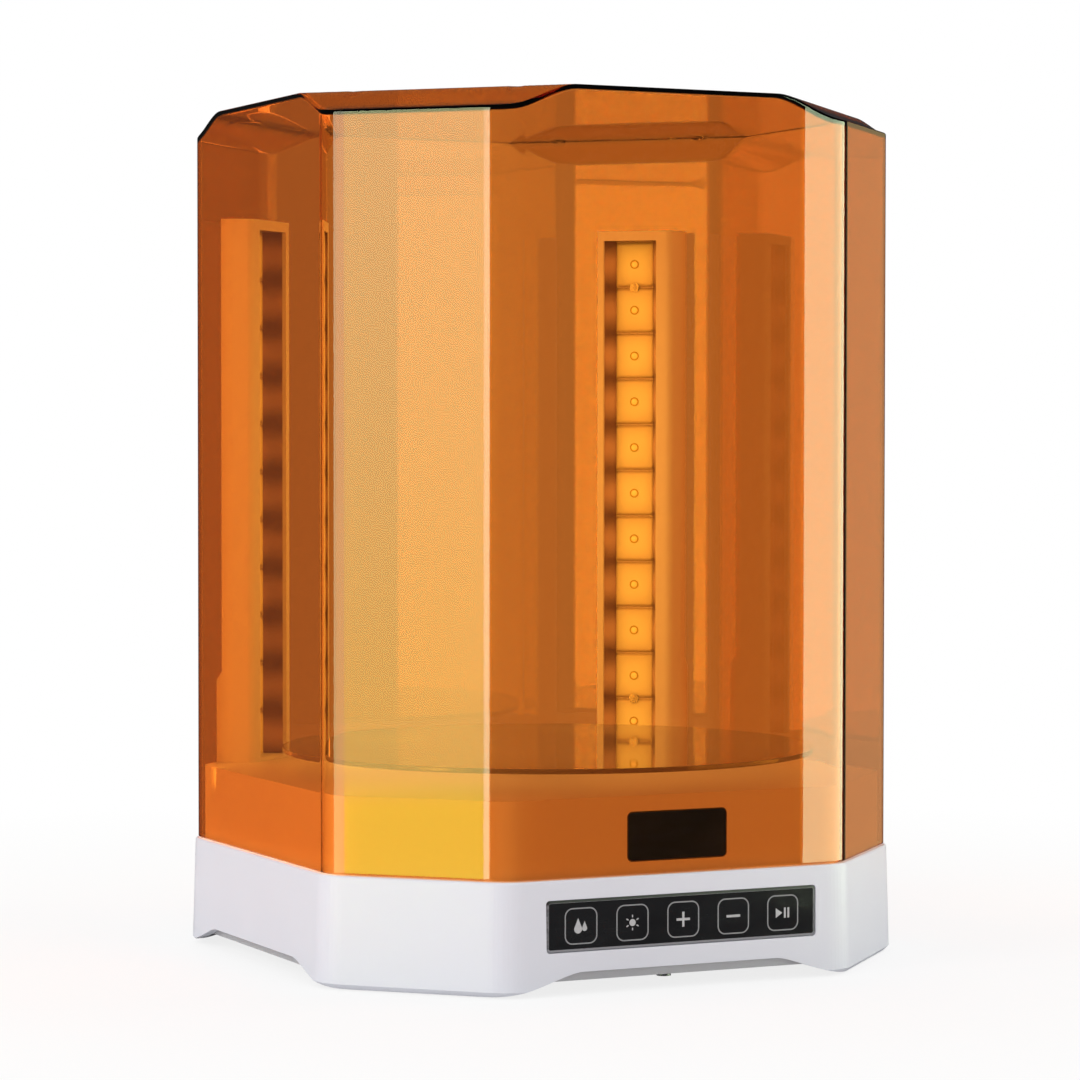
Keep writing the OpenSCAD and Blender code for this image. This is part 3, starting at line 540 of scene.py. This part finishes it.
def make_cover():
    """Thin shell with true wall thickness: outer face down to the rounded rim, then the inner face."""
    outer = shell_rings(0, TOP, TOP_EDGE, RIM + RIM_EDGE)
    inner = shell_rings(WALL, TOP - ROOF, TOP_EDGE * 0.6, RIM + RIM_EDGE)
    rim_outer = octagon_ring(RIM_EDGE, CORNER_R - RIM_EDGE, marks=CROWN_MARKS)
    rim_inner = octagon_ring(WALL - RIM_EDGE, CORNER_R - WALL + RIM_EDGE, marks=CROWN_MARKS)
    rings = list(reversed(outer))
    rings.append([Vector((p.x, p.y, RIM)) for p in rim_outer])
    rings.append([Vector((p.x, p.y, RIM)) for p in rim_inner])
    rings += inner
    count = len(rings[0])
    verts, faces = bridge(rings)
    faces = [tuple(reversed(f)) for f in faces]
    first = list(range(count))
    last = [(len(rings) - 1) * count + i for i in range(count)]
    verts.append(Vector((0, 0, TOP)))
    verts.append(Vector((0, 0, TOP - ROOF)))
    for i in range(count):
        j = (i + 1) % count
        faces.append((first[i], first[j], len(verts) - 2))
        faces.append((last[j], last[i], len(verts) - 1))
    obj = mesh_object("cover_shell", verts, faces, MATERIALS["amber_acrylic"], "cover")
    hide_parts("cover")


# Turned pieces


def lathe(profile, segments):
    """Vertices and faces of a profile of (radius, height) pairs turned about Z. A radius of 0 is a
    point."""
    verts, faces, rows = [], [], []
    for radius, height in profile:
        if radius == 0:
            rows.append([len(verts)])
            verts.append(Vector((0, 0, height)))
            continue
        rows.append(range(len(verts), len(verts) + segments))
        verts += [
            Vector((radius * cos(2 * pi * i / segments), radius * sin(2 * pi * i / segments), height))
            for i in range(segments)
        ]
    for low, high in zip(rows, rows[1:]):
        for i in range(segments):
            j = (i + 1) % segments
            corners = [low[i % len(low)], low[j % len(low)], high[j % len(high)], high[i % len(high)]]
            faces.append(tuple(dict.fromkeys(corners)))
    return verts, faces


def make_disc():
    """Turntable disc with a small round edge above and below."""
    low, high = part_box("turntable_disc")
    radius = (high.x - low.x) / 2
    center = (low + high) / 2
    edge = 0.35 * MM
    half = (high.z - low.z) / 2
    profile = [(0, -half), (radius * 0.5, -half), (radius - edge - HOLD, -half), (radius - edge, -half)]
    for a in (pi / 6, pi / 3, pi / 2):
        profile.append((radius - edge + edge * sin(a), -half + edge - edge * cos(a)))
    profile += [(r, -h) for r, h in reversed(profile)]
    verts, faces = lathe(profile, 160)
    verts = [v + center for v in verts]
    obj = mesh_object("disc_with_round_edge", verts, faces, MATERIALS["clear_acrylic"], "turntable")
    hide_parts("turntable_disc")


# Light columns

COLUMN_TURN = radians(41)
LAMP_COUNT = 11
TILE_W = 18 * MM
TILE_GAP = 0.6 * MM
TILE_SWELL = 0.4 * MM
TILE_GRID = 12
COLUMN_SIDES = {"left": -1, "right": 1}
UP = Vector((0, 0, 1))


def column_axes(side):
    """Directions along a column's face and into the column."""
    along = Vector((side * cos(COLUMN_TURN), -sin(COLUMN_TURN), 0))
    inward = Vector((side * sin(COLUMN_TURN), cos(COLUMN_TURN), 0))
    return along, inward


def reach(node, axis):
    """Lowest and highest place of a CAD node along an axis."""
    places = [v.co.dot(axis) for v in frame["nodes"][node].data.vertices]
    return min(places), max(places)


def lamp_places(name):
    """Place of each lamp on the face of its board, with the spacing of the lamps."""
    along, inward = column_axes(COLUMN_SIDES[name])
    low, high = reach(f"leds_{name}", along)
    foot, head = reach(f"leds_{name}", UP)
    chip = high - low
    pitch = (head - foot - chip) / (LAMP_COUNT - 1)
    face = reach(f"led_board_{name}", inward)[0]
    start = along * ((low + high) / 2) + inward * face + UP * (foot + chip / 2)
    return [start + UP * pitch * i for i in range(LAMP_COUNT)], pitch


def swell(share):
    return 1 - abs(share) ** 5


def make_tiles(name):
    """Pillow-shaped tiles round the lamps, bright with painted lamp light that is strongest at each middle,
    with a dark line between each two.
    """
    along, inward = column_axes(COLUMN_SIDES[name])
    places, pitch = lamp_places(name)
    height = pitch - TILE_GAP
    verts, faces, glow = [], [], []
    side = TILE_GRID + 1
    for place in places:
        start = len(verts)
        for i in range(side):
            for j in range(side):
                s, t = 2 * i / TILE_GRID - 1, 2 * j / TILE_GRID - 1
                lift = TILE_SWELL * swell(s) * swell(t)
                verts.append(place + along * (s * TILE_W / 2) + UP * (t * height / 2) - inward * lift)
                # painted pool of lamp light, strongest at the tile's middle
                glow.append((1 - abs(s) ** 3) * (1 - abs(t) ** 3))
        grid = [[start + i * side + j for j in range(side)] for i in range(side)]
        for i in range(TILE_GRID):
            for j in range(TILE_GRID):
                faces.append((grid[i][j], grid[i + 1][j], grid[i + 1][j + 1], grid[i][j + 1]))
        rim = [grid[i][0] for i in range(side)] + [grid[-1][j] for j in range(1, side)]
        rim += [grid[i][-1] for i in range(side - 2, -1, -1)] + [grid[0][j] for j in range(side - 2, 0, -1)]
        faces.append(tuple(reversed(rim)))
    obj = mesh_object(f"painted_glow_tiles_{name}", verts, faces, PAINTED_GLOW_TILE_MATERIAL, "base")
    attribute = obj.data.attributes.new("glow", "FLOAT", "POINT")
    attribute.data.foreach_set("value", glow)
    face_outwards(obj)


def face_outwards(obj):
    work = bmesh.new()
    work.from_mesh(obj.data)
    bmesh.ops.recalc_face_normals(work, faces=work.faces)
    work.to_mesh(obj.data)
    work.free()


def make_lenses(name):
    """Round lamps: a ring with a bright dome in it. The profile is in millimetres."""
    inward = column_axes(COLUMN_SIDES[name])[1]
    turn = (-inward).to_track_quat("Z", "Y").to_matrix()
    profile = [(2, 0), (2, 0.75), (1.9, 0.9), (1.65, 0.9), (1.55, 0.7), (1.35, 0.75), (1.1, 1.1), (0.7, 1.4),
        (0.3, 1.5), (0, 1.52)]
    ring_rows = 5
    segments = 28
    shape, shape_faces = lathe([(r * MM, h * MM) for r, h in profile], segments)
    verts, faces = [], []
    for place in lamp_places(name)[0]:
        start = len(verts)
        verts += [place + turn @ v for v in shape]
        faces += [tuple(start + i for i in face) for face in shape_faces]
        faces.append(tuple(start + i for i in reversed(range(segments))))
    obj = mesh_object(f"lamp_lenses_{name}", verts, faces, MATERIALS["lamp_chip"], "base")
    obj.data.materials.append(LENS_MATERIAL)
    per_lamp = len(shape_faces) + 1
    for polygon in obj.data.polygons:
        row = (polygon.index % per_lamp) // segments
        polygon.material_index = 1 if ring_rows <= row < len(profile) - 1 else 0
    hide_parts(f"leds_{name}")


# Front windows and their printing

PRINT_LIFT = 0.05 * MM
# Corner radius of each window, and the width and thickness of its rim
PANEL_CORNER_R = 1.5 * MM
PANEL_RIM_W = 0.9 * MM
PANEL_RIM_T = 0.6 * MM
DISPLAY_CORNER_R = 2.2 * MM
DISPLAY_RIM_W = 0.4 * MM
DISPLAY_RIM_T = 0.4 * MM
# Depth of a window's field behind the edge of its rim
FIELD_RECESS = 0.06 * MM


def rounded_rectangle(width, height, radius, steps=8):
    """Points (x, z) of a rectangle with round corners about the origin, counterclockwise."""
    points = []
    for k, (sx, sz) in enumerate(((1, 1), (-1, 1), (-1, -1), (1, -1))):
        for i in range(steps + 1):
            a = (k + i / steps) * pi / 2
            x = sx * (width / 2 - radius) + radius * cos(a)
            z = sz * (height / 2 - radius) + radius * sin(a)
            points.append((x, z))
    return points


def window_rings(node, radius, profile):
    """Outlines of a front window, one for each (inset, depth behind its front face)."""
    low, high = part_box(node)
    width, height = high.x - low.x, high.z - low.z
    middle = (low + high) / 2
    rings = []
    for inset, depth in profile:
        outline = rounded_rectangle(width - 2 * inset, height - 2 * inset, max(radius - inset, 0.2 * MM))
        rings.append([Vector((middle.x + x, low.y + depth, middle.z + z)) for x, z in outline])
    return rings


def make_window(node, radius, rim_w, rim_t, slot, rim_material):
    """Window with a bevelled rim of its own colour, with a painted highlight on its down-facing faces, round
    a flat, glossy field.
    """
    low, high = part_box(node)
    depth = high.y - low.y
    rings = window_rings(node, radius, [(0, depth), (0, rim_t), (rim_w, rim_t), (rim_w, FIELD_RECESS)])
    verts, faces = bridge(rings)
    count = len(rings[0])
    faces.append(tuple(range(count)))
    faces.append(tuple(range(3 * count, 4 * count)))
    field = mesh_object(f"{node}_field", verts, faces, MATERIALS[slot], "base", smooth=False)
    face_outwards(field)
    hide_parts(node)
    profile = [(0, rim_t), (0, rim_t * 0.45), (rim_w * 0.85, 0), (rim_w, 0), (rim_w, rim_t)]
    verts, faces = bridge(window_rings(node, radius, profile), closed_loop=True)
    rim = mesh_object(f"{node}_rim", verts, faces, rim_material, "base", smooth=False)
    face_outwards(rim)


def drop(x, z, radius, tip):
    """A drop: a round belly with two straight flanks that meet at the tip."""
    flank = acos(radius / tip)
    steps = 22
    points = [(x, z + tip)]
    for i in range(steps + 1):
        a = pi / 2 + flank + (2 * pi - 2 * flank) * i / steps
        points.append((x + radius * cos(a), z + radius * sin(a)))
    return points


def bar(x, z, length, width, turn=0.0):
    """Corners of a straight bar about (x, z), turned counterclockwise."""
    a, b = length / 2, width / 2
    corners = [(-a, -b), (a, -b), (a, b), (-a, b)]
    return [(x + u * cos(turn) - v * sin(turn), z + u * sin(turn) + v * cos(turn)) for u, v in corners]


def round_spot(x, z, radius, steps=28):
    angles = [2 * pi * i / steps for i in range(steps)]
    return [(x + radius * cos(a), z + radius * sin(a)) for a in angles]


def sun_icon():
    ray_r = 2.5
    rays = [k * pi / 3 + pi / 6 for k in range(6)]
    return [round_spot(0, 0, 1.35)] + [bar(ray_r * cos(a), ray_r * sin(a), 1, 0.45, a) for a in rays]


def plus_icon():
    arm, half = 2.9, 0.48
    quarter = [(half, half), (half, arm), (-half, arm)]
    points = []
    for k in range(4):
        c, s = round(cos(k * pi / 2)), round(sin(k * pi / 2))
        points += [(x * c - z * s, x * s + z * c) for x, z in quarter]
    return [points]


# Key symbols in millimetres about the middle of their key, from the left
KEY_ICONS = (
    [drop(-1.25, -1.2, 1.65, 4.2), drop(1.5, -1.0, 1.05, 2.8)],
    sun_icon(),
    plus_icon(),
    [bar(0, 0, 6, 0.96)],
    [[(-3.1, -1.9), (-0.2, 0), (-3.1, 1.9)], bar(0.95, 0, 0.8, 4), bar(2.5, 0, 0.8, 4)],
)
KEY_PITCH = 22 * MM
KEY_SIZE = (13.9 * MM, 14 * MM)
KEY_RADIUS = 3.3 * MM
KEY_LINE = 0.5 * MM
KEY_RISE = -0.2 * MM


def printed(name, loops, place, lift, material, body, across=Vector((1, 0, 0)), up=UP):
    """Thin printing: each loop of (x, z) points is a prism that stands on the surface at place."""
    out = across.cross(up)
    verts, faces = [], []
    for loop in loops:
        start, count = len(verts), len(loop)
        for height in (0, lift):
            verts += [place + across * x + up * z + out * height for x, z in loop]
        faces.append(tuple(start + i for i in range(count)))
        faces.append(tuple(start + count + i for i in range(count)))
        for i in range(count):
            j = (i + 1) % count
            faces.append((start + i, start + j, start + count + j, start + count + i))
    obj = mesh_object(name, verts, faces, material, body, smooth=False)
    face_outwards(obj)


def make_keys():
    """Key outlines and their symbols, printed on the touch panel."""
    low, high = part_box("control_panel")
    middle = (low + high) / 2
    front = low.y + FIELD_RECESS
    key_z = middle.z + KEY_RISE
    icons, verts, faces = [], [], []
    for k, shapes in enumerate(KEY_ICONS):
        x = (k - 2) * KEY_PITCH
        icons += [[(x + u * MM, KEY_RISE + v * MM) for u, v in shape] for shape in shapes]
        rings = []
        for grow, lift in ((0, 0), (0, PRINT_LIFT), (KEY_LINE, PRINT_LIFT), (KEY_LINE, 0)):
            outline = rounded_rectangle(KEY_SIZE[0] - 2 * grow, KEY_SIZE[1] - 2 * grow, KEY_RADIUS - grow)
            rings.append([Vector((middle.x + x + u, front - lift, key_z + v)) for u, v in outline])
        ring_verts, ring_faces = bridge(rings, closed_loop=True)
        faces += [tuple(len(verts) + i for i in face) for face in ring_faces]
        verts += ring_verts
    outlines = mesh_object("key_outlines", verts, faces, PRINT_GREY, "base", smooth=False)
    face_outwards(outlines)
    place = Vector((middle.x, front, middle.z))
    printed("key_symbols", icons, place, PRINT_LIFT, PRINT_PALE, "base")


def make_rocker_marks():
    """A line and a ring, the usual marks of on and off, on the two faces of the rocker."""
    node = frame["nodes"]["power_rocker"]
    faces = {}
    for polygon in node.data.polygons:
        if polygon.normal.y > 0.9:
            key = "on" if polygon.normal.x > 0 else "off"
            faces.setdefault(key, []).append(polygon)
    for key, group in faces.items():
        area = sum(p.area for p in group)
        place = sum((p.center * p.area for p in group), Vector()) / area
        normal = group[0].normal.normalized()
        across = UP.cross(normal).normalized()
        up = normal.cross(across)
        if key == "on":
            line = [bar(0, 0, 0.5 * MM, 3.6 * MM)]
            printed("rocker_mark_on", line, place, PRINT_LIFT, PRINT_PALE, "rocker",
                across, up)
            continue
        rings = []
        for radius, lift in ((1.8 * MM, 0), (1.8 * MM, PRINT_LIFT), (1.35 * MM, PRINT_LIFT), (1.35 * MM, 0)):
            rings.append([place + across * x + up * z + normal * lift for x, z in round_spot(0, 0, radius)])
        verts, ring_faces = bridge(rings, closed_loop=True)
        mark = mesh_object("rocker_mark_off", verts, ring_faces, PRINT_PALE, "rocker", smooth=False)
        face_outwards(mark)


# Studio

FLOOR_SIZE = 12
# Share of plain white in the floor close to the object, which grows to 1 away from it
FLOOR_LIFT = 0.82
# Levels of the world: for the eye, for light on matt surfaces, and in reflections
WHITE = 1.0
AMBIENT = 0.68
STUDIO = 0.04


def backdrop_share(s, direction):
    """1 for directions that meet the backdrop behind the object, 0 for those that miss it."""
    flat = s.add("ShaderNodeVectorMath", operation="MULTIPLY")
    flat.inputs[1].default_value = (1, 1, 0)
    unit = s.add("ShaderNodeVectorMath", operation="NORMALIZE")
    along = s.add("ShaderNodeVectorMath", operation="DOT_PRODUCT")
    along.inputs[1].default_value = (sin(CAMERA_YAW), cos(CAMERA_YAW), 0)
    s.link(direction, flat.inputs[0])
    s.link(flat.outputs[0], unit.inputs[0])
    s.link(unit.outputs[0], along.inputs[0])
    path = s.add("ShaderNodeLightPath")
    through = s.math("GREATER_THAN", path.outputs["Transmission Depth"], 0.5)
    return s.math("MULTIPLY", through, s.span(along.outputs["Value"], 0, 1, 0.2, 0.5))


def mirrored_level(s, direction):
    """Level that reflections show: dark, but white where the cover's inside mirrors the backdrop."""
    return s.span(backdrop_share(s, direction), STUDIO, WHITE)


def choose(s, factor, low, high):
    """low where factor is 0 and high where it is 1. Each is a number or a socket."""
    node = s.add("ShaderNodeMix")
    s.link(factor, node.inputs["Factor"])
    for socket, value in ((node.inputs[2], low), (node.inputs[3], high)):
        if isinstance(value, float):
            socket.default_value = value
        else:
            s.link(value, socket)
    return node.outputs[0]


def set_world():
    """White for the eye and through glass, a plain level for light, and darker in reflections."""
    world = bpy.data.worlds.new("studio")
    bpy.context.scene.world = world
    world.use_nodes = True
    world.cycles.sampling_method = "NONE"
    s = Nodes(world.node_tree, "ShaderNodeOutputWorld")
    background = s.add("ShaderNodeBackground")
    path = s.add("ShaderNodeLightPath")
    glossy = s.math("GREATER_THAN", path.outputs["Glossy Depth"], 0.5)
    scattered = s.math("GREATER_THAN", path.outputs["Diffuse Depth"], 0.5)
    direction = s.add("ShaderNodeTexCoord").outputs["Generated"]
    seen = choose(s, glossy, WHITE, mirrored_level(s, direction))
    strength = choose(s, scattered, seen, AMBIENT)
    background.inputs["Color"].default_value = (1, 1, 1, 1)
    s.link(strength, background.inputs["Strength"])
    s.link(background.outputs[0], s.out.inputs["Surface"])


def add_floor():
    """Pale floor: lifted to the background's white away from the object, with its shadow near it."""
    s = Shader("floor")
    diffuse = s.add("ShaderNodeBsdfDiffuse")
    diffuse.inputs["Color"].default_value = (0.8, 0.8, 0.8, 1)
    glow = s.add("ShaderNodeEmission")
    distance = s.add("ShaderNodeVectorMath", operation="LENGTH")
    s.link(s.place(), distance.inputs[0])
    lifted = s.span(distance.outputs["Value"], FLOOR_LIFT, 1.0, 0.25, 0.6)
    path = s.add("ShaderNodeLightPath")
    seen = s.math("LESS_THAN", path.outputs["Diffuse Depth"], 0.5)
    mirrored = s.math("GREATER_THAN", path.outputs["Glossy Depth"], 0.5)
    s.link(choose(s, mirrored, 1.0, mirrored_level(s, s.place())), glow.inputs["Strength"])
    share = s.math("MAXIMUM", lifted, mirrored)
    mix = s.add("ShaderNodeMixShader")
    s.link(s.math("MULTIPLY", seen, share), mix.inputs["Fac"])
    s.link(diffuse.outputs[0], mix.inputs[1])
    s.link(glow.outputs[0], mix.inputs[2])
    s.link(mix.outputs[0], s.out.inputs["Surface"])
    h = FLOOR_SIZE / 2
    corners = [(-h, -h, 0), (h, -h, 0), (h, h, 0), (-h, h, 0)]
    link_mesh("floor", corners, [(0, 1, 2, 3)], s.material)


def area_light(name, place, aim, size, power, color=(1, 1, 1)):
    data = bpy.data.lights.new(name, "AREA")
    data.shape = "RECTANGLE"
    data.size, data.size_y = size
    data.energy = power
    data.color = color
    light = bpy.data.objects.new(name, data)
    light.location = place
    light.rotation_euler = (Vector(place) - Vector(aim)).to_track_quat("Z", "Y").to_euler()
    bpy.context.scene.collection.objects.link(light)
    light.visible_camera = False
    light.visible_transmission = False
    light.visible_glossy = False


def reflection_screen(name, center, radius, turn, height, colors, strength, inside=False):
    """Part of an upright bright cylinder that shows in reflections alone, and with inside only in
    those seen through the cover. turn is the range of its bearing in degrees, and colors gives
    (share of the height, color) from the foot to the head."""
    s = Shader(name)
    path = s.add("ShaderNodeLightPath")
    mirrored = s.math("GREATER_THAN", path.outputs["Glossy Depth"], 0.5)
    plain = s.math("LESS_THAN", path.outputs["Diffuse Depth"], 0.5)
    shown = s.math("MULTIPLY", mirrored, plain)
    if inside:
        through = s.math("GREATER_THAN", path.outputs["Transmission Depth"], 2.5)
        shown = s.math("MULTIPLY", shown, through)
    rise = s.add("ShaderNodeSeparateXYZ")
    s.link(s.place(), rise.inputs[0])
    glow = s.add("ShaderNodeEmission")
    s.link(s.blend(s.span(rise.outputs["Z"], 0, 1, *height), colors), glow.inputs["Color"])
    glow.inputs["Strength"].default_value = strength
    clear = s.add("ShaderNodeBsdfTransparent")
    mix = s.add("ShaderNodeMixShader")
    s.link(shown, mix.inputs["Fac"])
    s.link(clear.outputs[0], mix.inputs[1])
    s.link(glow.outputs[0], mix.inputs[2])
    s.link(mix.outputs[0], s.out.inputs["Surface"])
    steps = 12
    verts = []
    for i in range(steps + 1):
        a = radians(turn[0] + (turn[1] - turn[0]) * i / steps)
        verts += [(center[0] + radius * cos(a), center[1] + radius * sin(a), z) for z in height]
    faces = [(2 * i, 2 * i + 2, 2 * i + 3, 2 * i + 1) for i in range(steps)]
    screen = link_mesh(name, verts, faces, s.material)
    screen.visible_camera = False
    screen.visible_diffuse = False
    screen.visible_shadow = False


# Screens at the left stand round the middle of the near corner facet, those at the right round the
# rounded edge between the front and the right facet
FACET_MIDDLE = HALF - LEG / 2
SCREEN_R = 0.331
EDGE_MIDDLE = (HALF - LEG, CORNER_R - HALF)
EDGE_SCREEN_R = 0.35
SIDE_SCREEN_R = 0.45
SCREEN_HEIGHT = (0.002, 0.42)
FAR_SCREEN_HEIGHT = (0.002, 0.365)

# Lamps inside the cover: power in watts, colour, (width, height), and distance from a column's face
COLUMN_POWER = {"left": 0.09, "right": 0.054}
COLUMN_COLOR = (0.72, 0.78, 0.25)
COLUMN_LAMP = (0.03, 0.24)
COLUMN_LAMP_GAP = 0.075
# The side lamp stands by the left wall and lights a place on the left column beside its slot
SIDE_LAMP = (0.008, 0.24)
SIDE_LAMP_POWER = 0.016
SIDE_LAMP_COLOR = (1, 0.83, 0.25)
SIDE_LAMP_GAP = 0.0045
SIDE_LAMP_Y = 0.055
SIDE_PLACE = (0.0173, 0.006)


def even(color):
    """A screen's colors where it has one color from foot to head."""
    return ((0, color), (1, color))


def column_face(name):
    """Middle of a column's lamps."""
    return sum(lamp_places(name)[0], Vector()) / LAMP_COUNT


def light_columns():
    """Small lamps inside the cover that light the two columns."""
    for name, side in COLUMN_SIDES.items():
        inward = column_axes(side)[1]
        face = column_face(name)
        place = face - inward * COLUMN_LAMP_GAP
        area_light(f"{name}_column_light", place, face, COLUMN_LAMP, COLUMN_POWER[name], COLUMN_COLOR)
    along, inward = column_axes(COLUMN_SIDES["left"])
    wall = column_face("left") + along * SIDE_PLACE[0] + inward * SIDE_PLACE[1]
    place = Vector((SIDE_LAMP_GAP - HALF, SIDE_LAMP_Y, wall.z))
    area_light("left_side_light", place, wall, SIDE_LAMP, SIDE_LAMP_POWER, SIDE_LAMP_COLOR)


def light_studio():
    """Three soft lamps round the object, and the screens that its faces mirror."""
    middle = (0, 0, 0.17)
    area_light("key", (-1.78, -0.3, 1.1), middle, (1.2, 1.2), 15)
    area_light("fill", (1.75, -0.2, 0.9), middle, (1.2, 1.2), 9.5)
    area_light("top", (0, 0.2, 2.0), middle, (1.6, 1.6), 6)
    near = (-FACET_MIDDLE, -FACET_MIDDLE)
    reflection_screen("left_screen", near, SCREEN_R, (197.8, 209.2), SCREEN_HEIGHT,
        ((0.085, (0.68, 1.08, 0.10)), (0.12, (0.78, 0.88, 0.26)), (1, (0.90, 1.0, 0.57))), 7)
    reflection_screen("left_screen_edge", near, SCREEN_R, (209.2, 210), SCREEN_HEIGHT,
        ((0, (0.9, 1.0, 0.6)), (1, (0.95, 1.0, 0.65))), 9.5)
    reflection_screen("left_screen_side", near, SCREEN_R, (170, 197.8), SCREEN_HEIGHT,
        ((0, (0.80, 0.85, 0.40)), (1, (0.85, 0.90, 0.65))), 6)
    reflection_screen("far_facet_screen", near, SCREEN_R * 0.99, (184.5, 199.6), FAR_SCREEN_HEIGHT,
        even((0.76, 1.0, 0.62)), 21, inside=True)
    reflection_screen("side_wall_screen", (0, 0), SIDE_SCREEN_R, (85, 115), SCREEN_HEIGHT,
        even((1.0, 0.95, 1.0)), 5.5, inside=True)
    reflection_screen("right_screen", EDGE_MIDDLE, EDGE_SCREEN_R, (-64, 1), SCREEN_HEIGHT,
        ((0, (0.8, 1.0, 0.62)), (1, (0.78, 1.0, 0.65))), 7.8)
    reflection_screen("right_facet_screen", EDGE_MIDDLE, EDGE_SCREEN_R, (19, 36), SCREEN_HEIGHT,
        even((1.0, 0.74, 0.36)), 0.75)


add_camera()
set_world()
add_floor()
light_studio()
light_columns()
dress_nodes()
make_cover()
make_disc()
for column in COLUMN_SIDES:
    make_tiles(column)
    make_lenses(column)
make_window("control_panel", PANEL_CORNER_R, PANEL_RIM_W, PANEL_RIM_T, "panel_black", PANEL_RIM)
make_window("display_window", DISPLAY_CORNER_R, DISPLAY_RIM_W, DISPLAY_RIM_T, "display_black",
    DISPLAY_RIM)
make_keys()
make_rocker_marks()

scene = bpy.context.scene
scene.view_settings.view_transform = "Standard"

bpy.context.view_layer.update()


def plain(bounds):
    return [[float(v) for v in corner] for corner in bounds]
